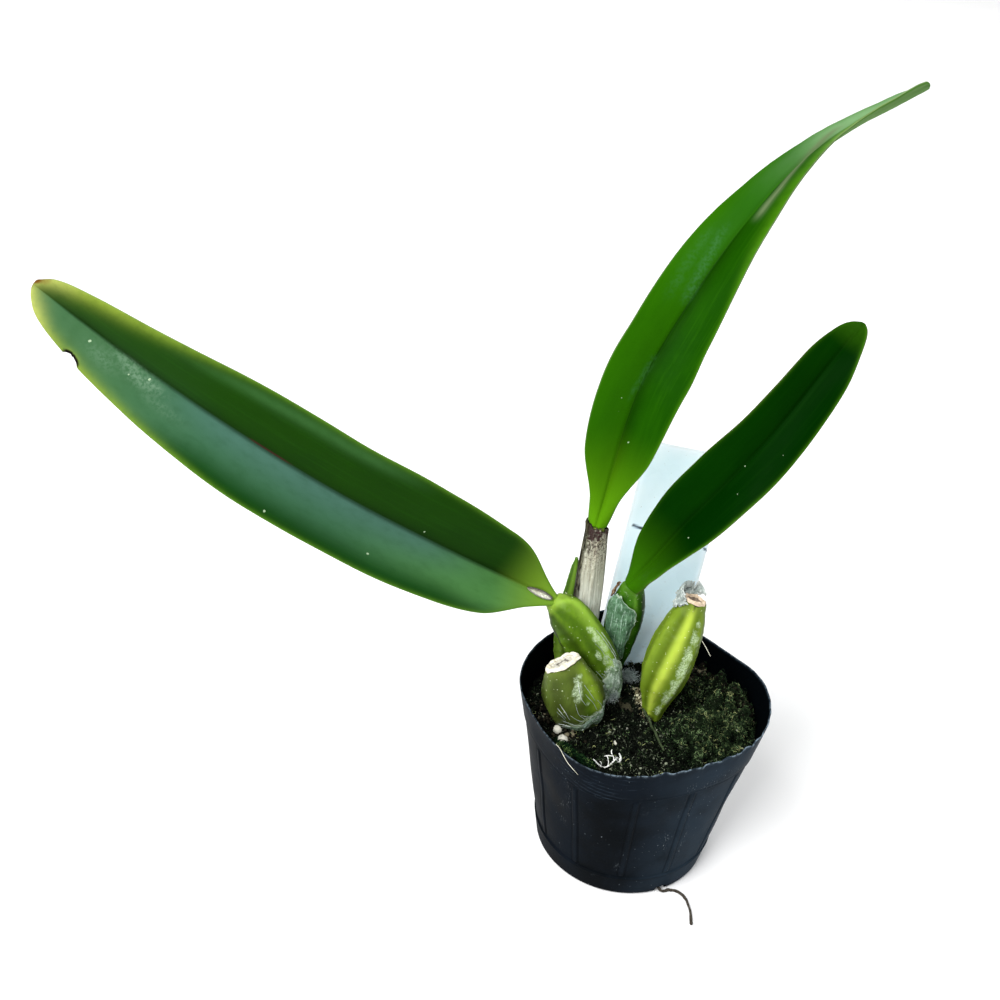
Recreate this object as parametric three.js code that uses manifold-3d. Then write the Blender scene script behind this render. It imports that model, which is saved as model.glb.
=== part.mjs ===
// A young cattleya orchid in a 9 cm soft nursery pot: pot, mossy mix, creeping rhizome, six pseudobulbs,
// three leathery leaves, dry sheaths, a plant label and one root that runs out of the pot's foot.
// Millimetres, +Z up, origin on the table under the middle of the pot, -Y is the front.
import * as THREE from "three";
import { mergeVertices } from "three/addons/utils/BufferGeometryUtils.js";
import Module from "manifold-3d";

const wasm = await Module();
wasm.setup();

// Driving dimensions.
const GAP = 0.3; // clearance kept between pieces that touch
const POT_HEIGHT = 74;
const RIM_RADIUS = 45;
const FOOT_RADIUS = 32.5;
const WALL = 0.9; // pot wall
const FLOOR = 1.4; // pot floor
const BAND_HEIGHT = 14.5; // plain band under the rim
const BAND_STEP = 0.6; // how far the panels lie behind the bands
const FOOT_BAND = 10; // plain band over the foot
const CHAMFER = 0.8; // round the foot's edge
const RIBS = 12;
const RIB_TURN = -2; // degrees by which the ribs are turned from the -Y line
const RIB_WIDTH = 3.2;
const RIB_DEPTH = 0.45;
const DRAIN_HOLES = 8;
const DRAIN_RADIUS = 3;
const DRAIN_CIRCLE = 21;
const MIX_LEVEL = 60.5;
const ROOT_RADIUS = 0.65;
const SHEATH = 0.65; // thickness of the papery pieces
const LABEL = { width: 32, length: 118, thickness: 0.6, corner: 3, point: 26 };

const UP = new THREE.Vector3(0, 0, 1);
const SMALL = 1e-3; // vertices closer than this are one

const vec = (point) => new THREE.Vector3(...point);
const radians = THREE.MathUtils.degToRad;
const lerp = THREE.MathUtils.lerp;

// Smooth value through a row of stations, flat beyond its ends.
function through(stations, values) {
  const last = stations.length - 1;
  const slope = (i) => {
    const a = Math.max(0, i - 1);
    const b = Math.min(last, i + 1);
    return (values[b] - values[a]) / (stations[b] - stations[a]);
  };
  return (t) => {
    const s = THREE.MathUtils.clamp(t, stations[0], stations[last]);
    let i = 0;
    while (i < last - 1 && s > stations[i + 1]) i += 1;
    const span = stations[i + 1] - stations[i];
    const f = (s - stations[i]) / span;
    const near = values[i] * (1 + 2 * f) * (1 - f) ** 2 + slope(i) * span * f * (1 - f) ** 2;
    const far = values[i + 1] * f * f * (3 - 2 * f) - slope(i + 1) * span * f * f * (1 - f);
    return near + far;
  };
}

// Closed skin over a row of rings with as many points each. The end rings are filled round their middle.
// With alike, the quads of a blade's two faces are split along the same diagonal.
function skin(rings, alike = false) {
  const count = rings[0].length;
  const points = rings.flat();
  const faces = [];
  for (let j = 0; j + 1 < rings.length; j += 1) {
    for (let i = 0; i < count; i += 1) {
      const a = j * count + i;
      const b = j * count + ((i + 1) % count);
      const c = b + count;
      const d = a + count;
      if (alike && i >= count / 2) faces.push([a, b, c], [a, c, d]);
      else faces.push([a, b, d], [b, c, d]);
    }
  }
  [0, rings.length - 1].forEach((j, end) => {
    const middle = new THREE.Vector3();
    rings[j].forEach((p) => middle.addScaledVector(p, 1 / count));
    points.push(middle);
    for (let i = 0; i < count; i += 1) {
      const a = j * count + i;
      const b = j * count + ((i + 1) % count);
      faces.push(end ? [a, b, points.length - 1] : [b, a, points.length - 1]);
    }
  });
  return closed(points, faces);
}

// Closed tube wall: the last ring joins the first.
function loop(rings) {
  const count = rings[0].length;
  const faces = [];
  rings.forEach((ring, j) => {
    const next = ((j + 1) % rings.length) * count;
    ring.forEach((point, i) => {
      const a = j * count + i;
      const b = j * count + ((i + 1) % count);
      const c = next + ((i + 1) % count);
      const d = next + i;
      faces.push([a, b, d], [b, c, d]);
    });
  });
  return closed(rings.flat(), faces);
}

// Geometry from points and triangles, turned so that its faces point out.
function closed(points, faces) {
  const volume = faces.reduce((sum, [a, b, c]) => {
    const cross = new THREE.Vector3().crossVectors(points[b], points[c]);
    return sum + points[a].dot(cross);
  }, 0);
  const index = faces.flatMap(([a, b, c]) => (volume < 0 ? [a, c, b] : [a, b, c]));
  return new THREE.BufferGeometry().setFromPoints(points).setIndex(index);
}

// A closed geometry as a manifold solid, and back.
function solid(geometry) {
  const bare = geometry.clone();
  bare.deleteAttribute("normal");
  bare.deleteAttribute("uv");
  const merged = mergeVertices(bare, SMALL);
  return new wasm.Manifold(
    new wasm.Mesh({
      numProp: 3,
      vertProperties: new Float32Array(merged.attributes.position.array),
      triVerts: new Uint32Array(merged.index.array),
    }),
  );
}

function geometryOf(made) {
  const mesh = made.getMesh();
  return new THREE.BufferGeometry()
    .setAttribute("position", new THREE.BufferAttribute(mesh.vertProperties, 3))
    .setIndex(new THREE.BufferAttribute(mesh.triVerts, 1));
}

const joined = (...geometries) => geometryOf(geometries.map(solid).reduce((a, b) => a.add(b)));

const cut = (geometry, ...tools) =>
  geometryOf(tools.map(solid).reduce((a, b) => a.subtract(b), solid(geometry)));

// Direction along a curve, and two directions across it. The first one faces the given way.
function frameAt(curve, t, facing) {
  const along = curve.getTangent(t);
  const front = facing.clone().addScaledVector(along, -facing.dot(along)).normalize();
  return { at: curve.getPoint(t), along, front, side: new THREE.Vector3().crossVectors(along, front) };
}

// ---- pot ----

// The soft pot is pressed out of round: each wave has its share of the rim's radius, its count and its turn.
const WAVES = [
  [-0.018, 1, -0.22],
  [0.043, 3, 0.43],
  [0.028, 4, 0.35],
  [0.019, 5, -2.36],
];
const outOfRound = (turn) =>
  WAVES.reduce((sum, [share, count, phase]) => sum + share * Math.cos(count * turn + phase), 0);

// Outside radius of the bands at a height and a turn about Z.
function potRadius(turn, height) {
  const rise = Math.max(0, height) / POT_HEIGHT;
  return lerp(FOOT_RADIUS, RIM_RADIUS * (1 + outOfRound(turn)), rise);
}

const polar = (turn, radius, height) =>
  new THREE.Vector3(radius * Math.cos(turn), radius * Math.sin(turn), height);

// Turns round the pot: four close ones make each rib, two wide ones cross the panel after it.
function ribbedTurns() {
  const pitch = 360 / RIBS;
  const half = THREE.MathUtils.radToDeg(RIB_WIDTH / 2 / RIM_RADIUS);
  const flank = half * 0.45;
  const marks = [-half - flank, -half, half, half + flank, pitch * 0.36, pitch * 0.64];
  const turns = [];
  for (let k = 0; k < RIBS; k += 1) {
    marks.forEach((mark, i) => {
      turns.push({ turn: radians(RIB_TURN - 90 + k * pitch + mark), ribbed: i === 1 || i === 2 });
    });
  }
  return turns;
}

function potGeometry() {
  const bandFoot = POT_HEIGHT - BAND_HEIGHT;
  const ragged = (turn) => 0.45 * Math.sin(9 * turn) + 0.35 * Math.sin(23 * turn + 1.3);
  const outside = [
    { height: 0, radius: FOOT_RADIUS - CHAMFER },
    { height: CHAMFER, proud: 0 },
    { height: FOOT_BAND, proud: 0 },
    { height: FOOT_BAND + BAND_STEP, proud: -BAND_STEP },
    { height: FOOT_BAND + 2 * BAND_STEP, proud: -BAND_STEP, rib: RIB_DEPTH },
    { height: bandFoot - 2 * BAND_STEP, proud: -BAND_STEP, rib: RIB_DEPTH },
    { height: bandFoot - BAND_STEP, proud: -BAND_STEP },
    { height: bandFoot, proud: 0 },
    { height: POT_HEIGHT, proud: 0, lip: true },
  ];
  const inside = [
    { height: POT_HEIGHT, proud: -WALL, lip: true },
    { height: bandFoot, proud: -WALL },
    { height: bandFoot - BAND_STEP, proud: -WALL - BAND_STEP },
    { height: FLOOR, proud: -WALL - BAND_STEP },
  ];
  const turns = ribbedTurns();
  const rings = [...outside, ...inside].map((row) =>
    turns.map(({ turn, ribbed }) => {
      const rib = row.rib && ribbed ? row.rib : 0;
      const radius = row.radius ?? potRadius(turn, row.height) + row.proud + rib;
      return polar(turn, radius, row.height + (row.lip ? ragged(turn) : 0));
    }),
  );
  return cut(skin(rings), ...drains(), rootSlot());
}

// Drain holes in the floor, on a circle clear of its middle.
function drains() {
  return Array.from({ length: DRAIN_HOLES }, (_, k) => {
    const turn = ((k + 0.5) / DRAIN_HOLES) * 2 * Math.PI;
    const hole = new THREE.CylinderGeometry(DRAIN_RADIUS, DRAIN_RADIUS, 3 * FLOOR, 12);
    hole.rotateX(Math.PI / 2);
    const place = polar(turn, DRAIN_CIRCLE, 0);
    return hole.translate(place.x, place.y, place.z);
  });
}

// ---- trailing root ----

const ROOT_EXIT = [15.6, -29.7];
const ROOT_LIE = ROOT_RADIUS + 0.05; // height of the root's middle on the table
const rootPath = new THREE.CatmullRomCurve3(
  [
    [8.5, -18.5, 6.2],
    [11.2, -22.6, 3.4],
    [13.6, -26.4, 1.35],
    [...ROOT_EXIT, 0.9],
    [18.4, -28.9, ROOT_LIE],
    [21.3, -29.0, ROOT_LIE],
    [24.3, -31.6, ROOT_LIE],
    [26.0, -37.0, ROOT_LIE],
    [26.3, -44.5, ROOT_LIE],
  ].map(vec),
);

// Round tube along a curve, thinner or thicker along its way. Its ends may reach beyond the curve's.
function tube(curve, radius, { sides = 8, steps = 24, beyond = 0 } = {}) {
  const facing = new THREE.Vector3(0.01, 0.02, 1);
  const rings = Array.from({ length: steps + 1 }, (_, j) => {
    const t = j / steps;
    const { at, along, front, side } = frameAt(curve, t, facing);
    const r = typeof radius === "function" ? radius(t) : radius;
    if (j === 0) at.addScaledVector(along, -beyond);
    if (j === steps) at.addScaledVector(along, beyond);
    return Array.from({ length: sides }, (_, i) => {
      const turn = (i / sides) * 2 * Math.PI;
      return at
        .clone()
        .addScaledVector(front, r * Math.cos(turn))
        .addScaledVector(side, r * Math.sin(turn));
    });
  });
  return skin(rings);
}

const ROOT_STEPS = 24;
const rootThickness = (t) => ROOT_RADIUS * lerp(1, 0.8, t);
const rootGeometry = () => tube(rootPath, rootThickness, { sides: 7, steps: ROOT_STEPS });
const rootClearance = () =>
  tube(rootPath, ROOT_RADIUS + 1.5 * GAP, { sides: 7, steps: ROOT_STEPS, beyond: GAP });

// Slot in the pot's foot that the root comes out of, open to the floor.
const SLOT = { length: 13, width: 4.8, height: 2.7, share: 0.91 };

function rootSlot() {
  const slot = new THREE.BoxGeometry(SLOT.length, SLOT.width, 2 * SLOT.height);
  slot.rotateZ(Math.atan2(ROOT_EXIT[1], ROOT_EXIT[0]));
  return slot.translate(ROOT_EXIT[0] * SLOT.share, ROOT_EXIT[1] * SLOT.share, 0);
}

// ---- pseudobulbs and rhizome ----

// Each bulb grows from foot to top along its points. Radii are read at fifths of the way, flat is its depth
// over its width, and ridges is the count of its blunt ribs. A slant tilts its cut top up at that turn.
const BULBS = {
  bulb_left: {
    points: [[-12.5, 8, 57], [-14.5, 8.4, 68], [-18.5, 9, 77.5], [-25, 10.2, 88], [-31.4, 12.5, 96],
      [-36, 14, 99.7]],
    radii: [4, 7, 8.4, 8.4, 7.2, 4],
    flat: 0.76,
    ridges: 7,
    color: 0x7da21f,
  },
  bulb_middle: {
    points: [[-13, 20, 57], [-11.3, 19.6, 68], [-9.6, 19.6, 84], [-8.6, 20, 96], [-7.9, 20, 105.2]],
    radii: [3.2, 5, 6.6, 7, 6, 3.4],
    flat: 0.75,
    ridges: 7,
    color: 0x3f7d1c,
  },
  bulb_back: {
    points: [[-22.4, 22, 56], [-23.2, 23, 80], [-23.6, 23.5, 104], [-23.8, 23.5, 128.1]],
    radii: [2.6, 3.5, 4.1, 4.1, 3.6, 2.8],
    flat: 0.9,
    ridges: 6,
    color: 0x6b8f2a,
  },
  bulb_rear: {
    points: [[-28.5, 19, 58], [-31, 23.5, 73], [-29.8, 30, 87], [-28.8, 33.5, 98], [-28.7, 34.5, 106]],
    radii: [2.2, 2.7, 3, 2.7, 1.9, 0.8],
    flat: 0.85,
    ridges: 5,
    color: 0x5f9a2b,
  },
  bulb_right_cut: {
    points: [[5, -2, 56], [6, -0.5, 70], [8, 2.5, 87], [10.6, 6, 99], [13.2, 9, 109.8]],
    radii: [2.2, 5.4, 8.2, 8.6, 7.2, 4.6],
    flat: 0.86,
    ridges: 7,
    color: 0x9db52a,
  },
  bulb_front_cut: {
    points: [[-21.2, -4.5, 56], [-23.7, -6.1, 65], [-27.2, -6.4, 76], [-31.2, -5.5, 87]],
    radii: [4, 7.6, 10.6, 11, 9.4, 6.6],
    flat: 0.9,
    ridges: 7,
    slant: { rise: 1.5, turn: 100 },
    color: 0x86a52c,
  },
};
const FIFTHS = [0, 0.2, 0.4, 0.6, 0.8, 1];
const FRONT = new THREE.Vector3(0, -1, 0.2);
const RIDGE_SHARE = 0.045; // height of the blunt ribs, as a share of the radius
const RIDGE_FOOT = 0.15; // the ribs are already this far grown at the foot

// Gives the points of a bulb: t from foot to top, turn round from its front, out beyond its skin.
function bulbSkin({ points, radii, flat, ridges, slant = { rise: 0, turn: 0 } }) {
  const curve = new THREE.CatmullRomCurve3(points.map(vec));
  const radius = through(FIFTHS, radii);
  const length = curve.getLength();
  return (t, turn, out) => {
    const within = THREE.MathUtils.clamp(t, 0, 1);
    const { at, along, front, side } = frameAt(curve, within, FRONT);
    const rib = RIDGE_SHARE * Math.cos(ridges * turn) * Math.sin(Math.PI * Math.min(1, within + RIDGE_FOOT));
    const r = radius(within) * (1 + rib);
    const tilt = slant.rise * Math.cos(turn - radians(slant.turn)) * within ** 6;
    return at
      .clone()
      .addScaledVector(along, (t - within) * length + tilt)
      .addScaledVector(front, (r * flat + out) * Math.cos(turn))
      .addScaledVector(side, (r + out) * Math.sin(turn));
  };
}

const BULB_SIDES = 18;
const BULB_STEPS = 11;

// A bulb from its foot up through some or all of its rings. Grow adds a clearance all round and at both ends.
function bulbGeometry(bulb, { grow = 0, upTo = BULB_STEPS } = {}) {
  const point = bulbSkin(bulb);
  const length = new THREE.CatmullRomCurve3(bulb.points.map(vec)).getLength();
  const rings = Array.from({ length: upTo + 1 }, (_, j) => {
    const end = j === 0 ? -1 : Number(j === BULB_STEPS);
    const t = j / BULB_STEPS + (end * grow) / length;
    return Array.from({ length: BULB_SIDES }, (_, i) => point(t, (i / BULB_SIDES) * 2 * Math.PI, grow));
  });
  return skin(rings);
}

// The rhizome creeps half sunk in the mix and joins the bulbs' feet.
const RHIZOME = {
  runs: [
    [[-22, -10, 56], [-21, -4, 57], [-16, 3, 58], [-12.5, 9, 58], [-12.5, 15, 57.5], [-13, 22, 56.5]],
    [[9, -6, 54.5], [4.5, -1.5, 56.5], [-4, 4, 58.5], [-12.5, 9, 58]],
    [[-13, 18, 57], [-17, 20.5, 57], [-22.5, 22, 56], [-28.5, 18.5, 56]],
  ],
  radius: 3.6,
  knobs: 0.35,
};

function rhizomeGeometry(grow = 0) {
  const thickness = (t) => RHIZOME.radius + grow + RHIZOME.knobs * Math.sin(40 * t);
  const runs = RHIZOME.runs.map((points) => {
    const curve = new THREE.CatmullRomCurve3(points.map(vec));
    return tube(curve, thickness, { sides: 9, steps: 10, beyond: grow });
  });
  return joined(...runs);
}

// ---- dry sheaths ----

const CLING = 0.42; // how far the papery pieces stand off their bulb

// Dry tube round the back bulb, with a slanting, ragged top.
function backSheath() {
  const point = bulbSkin(BULBS.bulb_back);
  const sides = BULB_SIDES;
  const top = (turn) => 0.966 - 0.018 * Math.sin(turn) + 0.006 * Math.sin(5 * turn);
  const foot = 0.1;
  const ring = (share, out) =>
    Array.from({ length: sides }, (_, i) => {
      const turn = (i / sides) * 2 * Math.PI;
      return point(lerp(foot, top(turn), share), turn, out);
    });
  const shares = [0, 0.2, 0.4, 0.6, 0.8, 0.92, 1];
  const outer = shares.map((share) => ring(share, CLING + SHEATH));
  const inner = shares.toReversed().map((share) => ring(share, CLING));
  return loop([...outer, ...inner]);
}

// Dry scrap that clings to a bulb. Each row says how far up the bulb it is, from which turn to which turn
// it reaches, in degrees from the bulb's front, and how far it stands off.
function scrap(bulb, rows, across = 8) {
  const point = bulbSkin(bulb);
  const rings = rows.map(({ t, from, to, off = 0 }) => {
    const turns = Array.from({ length: across + 1 }, (_, i) => radians(lerp(from, to, i / across)));
    const face = (out) => turns.map((turn) => point(t, turn, CLING + off + out));
    return [...face(SHEATH), ...face(0).reverse()];
  });
  return skin(rings, true);
}

const MIDDLE_SHEATH = [
  { t: 0.3, from: 4, to: 16 },
  { t: 0.38, from: -20, to: 20 },
  { t: 0.48, from: -36, to: 24 },
  { t: 0.58, from: -48, to: 28 },
  { t: 0.68, from: -54, to: 32 },
  { t: 0.76, from: -52, to: 34 },
  { t: 0.84, from: -40, to: 16 },
  { t: 0.93, from: -16, to: -2 },
];
const RIGHT_CAP = [
  { t: 0.955, from: -178, to: -52 },
  { t: 0.985, from: -205, to: -40, off: 0.1 },
  { t: 1.015, from: -222, to: -56, off: 0.4 },
  { t: 1.05, from: -228, to: -84, off: 0.6 },
  { t: 1.08, from: -206, to: -116, off: 0.3 },
  { t: 1.1, from: -184, to: -150, off: -0.2 },
];

// ---- leaves ----

// A leaf is a thick blade folded along its midrib. Each knot of the midrib says where it is and which way
// the upper face looks there. Half widths are read at the stations, folds in degrees at thirds of the way.
// On names the bulb that it grows from.
const LEAF_STATIONS = [0, 0.05, 0.12, 0.25, 0.4, 0.55, 0.7, 0.83, 0.92, 0.97, 1];
const LEAVES = {
  leaf_left: {
    knots: [
      { at: [-36, 14, 99.7], facing: [0.48, -0.75, 0.45] },
      { at: [-78.1, 3.9, 126.1], facing: [0.46, -0.8, 0.38] },
      { at: [-114.4, -2.8, 149.5], facing: [0.29, -0.87, 0.41] },
      { at: [-149.4, -3.2, 171.5], facing: [0.18, -0.9, 0.39] },
      { at: [-181.7, 2.7, 190.1], facing: [-0.08, -0.95, 0.3] },
      { at: [-215.1, 12, 209], facing: [-0.12, -0.95, 0.29] },
    ],
    halfWidths: [2.2, 8, 17.1, 20.1, 19.9, 19.7, 17.2, 14.1, 10.6, 7.2, 2],
    folds: [34, 19, 17, 19],
    on: "bulb_left",
    color: 0x2f6b2a,
  },
  leaf_tall: {
    knots: [
      { at: [-23.8, 23.5, 128.1], facing: [-0.22, -0.97, 0.04] },
      { at: [-16.3, 29, 180.8], facing: [-0.05, -0.99, 0.13] },
      { at: [-7.2, 37, 202.4], facing: [-0.04, -0.94, 0.33] },
      { at: [15.2, 54, 237.6], facing: [-0.53, -0.55, 0.65] },
      { at: [39.9, 84, 253.4], facing: [-0.42, -0.01, 0.91] },
      { at: [81.2, 125, 263.8], facing: [-0.55, 0.43, 0.72] },
    ],
    halfWidths: [3.4, 5.1, 13.2, 16, 14.6, 12, 9.1, 5.8, 4.1, 3, 1.2],
    folds: [33, 24, 20, 40],
    on: "bulb_back",
    color: 0x3f8a1d,
  },
  leaf_right: {
    knots: [
      { at: [-7.9, 20, 105.2], facing: [-0.84, -0.47, 0.29] },
      { at: [6.1, 17.6, 134.7], facing: [-0.66, -0.7, 0.27] },
      { at: [18.5, 18.7, 154.1], facing: [-0.4, -0.75, 0.53] },
      { at: [30.5, 22.7, 173.1], facing: [-0.1, -0.94, 0.33] },
      { at: [43.3, 31.2, 191.5], facing: [0.06, -0.86, 0.51] },
      { at: [57.4, 42, 208.8], facing: [-0.51, -0.47, 0.71] },
    ],
    halfWidths: [2.6, 4.7, 10.3, 13.5, 13.4, 12.4, 11.7, 9.9, 7, 5, 1.9],
    folds: [40, 22, 20, 20],
    on: "bulb_middle",
    color: 0x1d4f17,
  },
};
const ACROSS = [-1, -0.7, -0.35, 0, 0.35, 0.7, 1];
const THICK = { midrib: 1.9, margin: 0.8, stalk: 3.2, tip: 0.8 };
const STALK_SHARE = 0.1; // share of the length over which the thick foot thins out
const TIP_SHARE = 0.25; // share over which the blade thins to its tip
const GROOVE = 0.35; // depth of the groove above the midrib
const KEEL = 0.6; // height of the keel below it
const RIDGE_REACH = 0.3; // how far across the groove and the keel reach

// Gives the points of a leaf: t along the midrib, u across from -1 to 1, face 1 above and -1 below.
function leafSkin({ knots, halfWidths, folds }) {
  const curve = new THREE.CatmullRomCurve3(knots.map((knot) => vec(knot.at)));
  const look = [0, 1, 2].map((axis) => through(FIFTHS, knots.map((knot) => knot.facing[axis])));
  const halfWidth = through(LEAF_STATIONS, halfWidths);
  const fold = through([0, 1 / 3, 2 / 3, 1], folds);
  return (t, u, face, out = 0) => {
    const { at, front, side } = frameAt(curve, t, vec(look.map((part) => part(t))));
    const width = halfWidth(t);
    const lean = radians(fold(t));
    const stalk = Math.max(0, 1 - t / STALK_SHARE);
    const tip = Math.max(0, 1 - (1 - t) / TIP_SHARE);
    const middle = lerp(lerp(THICK.midrib, THICK.stalk, stalk), THICK.tip, tip);
    const thick = lerp(THICK.margin, middle, 1 - u * u);
    const ridge = Math.max(0, 1 - Math.abs(u) / RIDGE_REACH) * (1 - tip) * (face > 0 ? GROOVE : KEEL);
    const lift = width * Math.abs(u) * Math.sin(lean) + (face * thick) / 2 - ridge + out;
    return at
      .clone()
      .addScaledVector(side, width * u * Math.cos(lean))
      .addScaledVector(front, lift);
  };
}

function leafGeometry(leaf, steps = 29) {
  const point = leafSkin(leaf);
  const rings = Array.from({ length: steps + 1 }, (_, j) => {
    const t = (1 - Math.cos((Math.PI * j) / steps)) / 2;
    return [...ACROSS.map((u) => point(t, u, 1)), ...ACROSS.toReversed().map((u) => point(t, u, -1))];
  });
  return skin(rings, true);
}

// Shallow bite out of the left leaf's lower margin, near its tip.
const BITE = { t: 0.885, u: -1, radius: 4.1, depth: 2.2 };

function bite() {
  const point = leafSkin(LEAVES.leaf_left);
  const margin = point(BITE.t, BITE.u, 1);
  const inward = point(BITE.t, BITE.u + 0.3, 1).sub(margin).normalize();
  const normal = point(BITE.t, BITE.u, 1).sub(point(BITE.t, BITE.u, -1)).normalize();
  const tool = new THREE.CylinderGeometry(BITE.radius, BITE.radius, 12, 24);
  const turned = new THREE.Quaternion().setFromUnitVectors(new THREE.Vector3(0, 1, 0), normal);
  const centre = margin.addScaledVector(inward, BITE.depth - BITE.radius);
  return tool.applyQuaternion(turned).translate(centre.x, centre.y, centre.z);
}

// Boat of a cut flower sheath, lying in the fold at the left leaf's foot.
const BOAT = { from: 0.012, to: 0.052, half: 1.7, wall: 0.7 };

function boat() {
  const point = leafSkin(LEAVES.leaf_left);
  const halfWidth = through(LEAF_STATIONS, LEAVES.leaf_left.halfWidths);
  const steps = 8;
  const rings = Array.from({ length: steps + 1 }, (_, j) => {
    const share = j / steps;
    const t = lerp(BOAT.from, BOAT.to, share);
    const half = (BOAT.half * (0.2 + 0.8 * Math.sin(Math.PI * share))) / halfWidth(t);
    const across = [-1, -0.5, 0, 0.5, 1];
    const upper = across.map((u) => point(t, u * half, 1, CLING + BOAT.wall + 0.4 * u * u));
    const lower = across.toReversed().map((u) => point(t, u * half, 1, CLING));
    return [...upper, ...lower];
  });
  return skin(rings, true);
}

// ---- mix ----

// Mounds of moss on the mix: place, reach and height of each.
const MOUNDS = [
  { at: [33, 8], reach: 9, height: 6 },
  { at: [27, -9], reach: 10, height: 5 },
  { at: [17, 21], reach: 8, height: 3 },
  { at: [4, -20], reach: 15, height: 3.5 },
  { at: [-22, -24], reach: 9, height: 1 },
];

function mixTop(x, y) {
  const mounds = MOUNDS.reduce((sum, { at, reach, height }) => {
    const away = ((x - at[0]) ** 2 + (y - at[1]) ** 2) / reach ** 2;
    return sum + height * Math.exp(-away);
  }, 0);
  const crumbs = 0.5 * Math.sin(0.9 * x + 1.1) * Math.cos(0.8 * y) + 0.35 * Math.sin(0.53 * x - 0.71 * y + 2);
  return MIX_LEVEL + mounds + crumbs;
}

const MIX_GAP = 0.4; // clearance of the loose mix round whatever stands in it
const WIDE_GAP = 0.5; // the same round the coarse shapes

function mixGeometry() {
  const sides = 48;
  const reach = (turn, height) => potRadius(turn, height) - WALL - BAND_STEP - 2.2 * GAP;
  const ring = (place) =>
    Array.from({ length: sides }, (_, i) => place((i / sides) * 2 * Math.PI));
  const edge = (turn) => {
    const out = reach(turn, MIX_LEVEL);
    return mixTop(out * Math.cos(turn), out * Math.sin(turn)) - 0.6;
  };
  const rings = [
    ring((turn) => polar(turn, reach(turn, FLOOR) - 1, FLOOR + GAP)),
    ring((turn) => polar(turn, reach(turn, FLOOR + GAP), FLOOR + GAP + 1)),
    ring((turn) => polar(turn, reach(turn, edge(turn)), edge(turn))),
    ...[0.93, 0.82, 0.7, 0.57, 0.44, 0.3, 0.15].map((share) =>
      ring((turn) => {
        const out = share * reach(turn, MIX_LEVEL);
        const x = out * Math.cos(turn);
        const y = out * Math.sin(turn);
        return new THREE.Vector3(x, y, mixTop(x, y));
      }),
    ),
  ];
  const holes = Object.values(BULBS).map((bulb) => bulbGeometry(bulb, { grow: MIX_GAP, upTo: 5 }));
  const others = [rhizomeGeometry(WIDE_GAP), labelGeometry(WIDE_GAP), strayGeometry(MIX_GAP), rootClearance()];
  return cut(skin(rings), ...holes, ...others);
}

// Old root that creeps over the mix in front of the right bulb, half sunk in it.
const STRAY_ROOT = { line: [[2.2, -4.6], [5.1, -9], [6.4, -13.2], [7.6, -16.6], [8.2, -19.6]], radius: 0.7 };

function strayGeometry(grow = 0) {
  const points = STRAY_ROOT.line.map(([x, y]) => new THREE.Vector3(x, y, mixTop(x, y) + 0.15));
  const curve = new THREE.CatmullRomCurve3(points);
  return tube(curve, STRAY_ROOT.radius + grow, { sides: 7, steps: 12, beyond: grow });
}

// ---- label ----

function labelGeometry(grow = 0) {
  const half = LABEL.width / 2 + grow;
  const top = grow;
  const low = -LABEL.length - grow;
  const shape = new THREE.Shape();
  shape.moveTo(-half + LABEL.corner, top);
  shape.lineTo(half - LABEL.corner, top);
  shape.quadraticCurveTo(half, top, half, top - LABEL.corner);
  shape.lineTo(half, low + LABEL.point);
  shape.lineTo(half * 0.25, low);
  shape.lineTo(-half * 0.25, low);
  shape.lineTo(-half, low + LABEL.point);
  shape.lineTo(-half, top - LABEL.corner);
  shape.quadraticCurveTo(-half, top, -half + LABEL.corner, top);
  const thick = LABEL.thickness + 2 * grow;
  const plate = new THREE.ExtrudeGeometry(shape, { depth: thick, bevelEnabled: false, curveSegments: 4 });
  plate.translate(0, 0, -thick / 2);
  // The plate stands a little askew and leans back.
  const across = new THREE.Vector3(0.993, 0, -0.115);
  const rise = new THREE.Vector3(0.112, 0.232, 0.966).normalize();
  const out = new THREE.Vector3().crossVectors(across, rise).normalize();
  const place = new THREE.Matrix4().makeBasis(across, rise, out).setPosition(8.2, 50, 147.7);
  return plate.applyMatrix4(place);
}

// ---- assembly ----

// Clearance that a leaf's foot is cut to, where it sits on its bulb.
const seat = (name) => bulbGeometry(BULBS[name], { grow: GAP });

// Dried hollow in the middle of the right bulb's cut top.
function hollow() {
  const point = bulbSkin(BULBS.bulb_right_cut);
  const sides = 10;
  const ring = (t, share) =>
    Array.from({ length: sides }, (_, i) => {
      const turn = (i / sides) * 2 * Math.PI;
      return point(t, turn, 0).lerp(point(t, turn + Math.PI, 0), (1 - share) / 2);
    });
  return skin([ring(0.955, 0.3), ring(1.02, 0.45)]);
}

const part = new THREE.Group();

function add(name, geometry, color, roughness = 0.6) {
  const mesh = new THREE.Mesh(geometry, new THREE.MeshStandardMaterial({ color, roughness }));
  mesh.name = name;
  part.add(mesh);
}

add("pot", potGeometry(), 0x1c232b, 0.45);
add("potting_mix", mixGeometry(), 0x2a2b1c, 0.95);
add("rhizome", rhizomeGeometry(), 0x5d5334, 0.8);
for (const [name, bulb] of Object.entries(BULBS)) {
  const tools = name === "bulb_right_cut" ? [rhizomeGeometry(GAP), hollow()] : [rhizomeGeometry(GAP)];
  add(name, cut(bulbGeometry(bulb), ...tools), bulb.color, 0.45);
}
for (const [name, leaf] of Object.entries(LEAVES)) {
  const tools = name === "leaf_left" ? [seat(leaf.on), bite()] : [seat(leaf.on)];
  add(name, cut(leafGeometry(leaf), ...tools), leaf.color, 0.35);
}
add("flower_sheath_stub", boat(), 0xe8e4d0, 0.7);
add("sheath_back", backSheath(), 0x9c8f7c, 0.85);
add("sheath_middle", cut(scrap(BULBS.bulb_middle, MIDDLE_SHEATH), seat("bulb_left")), 0xa9b8a4, 0.7);
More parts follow.
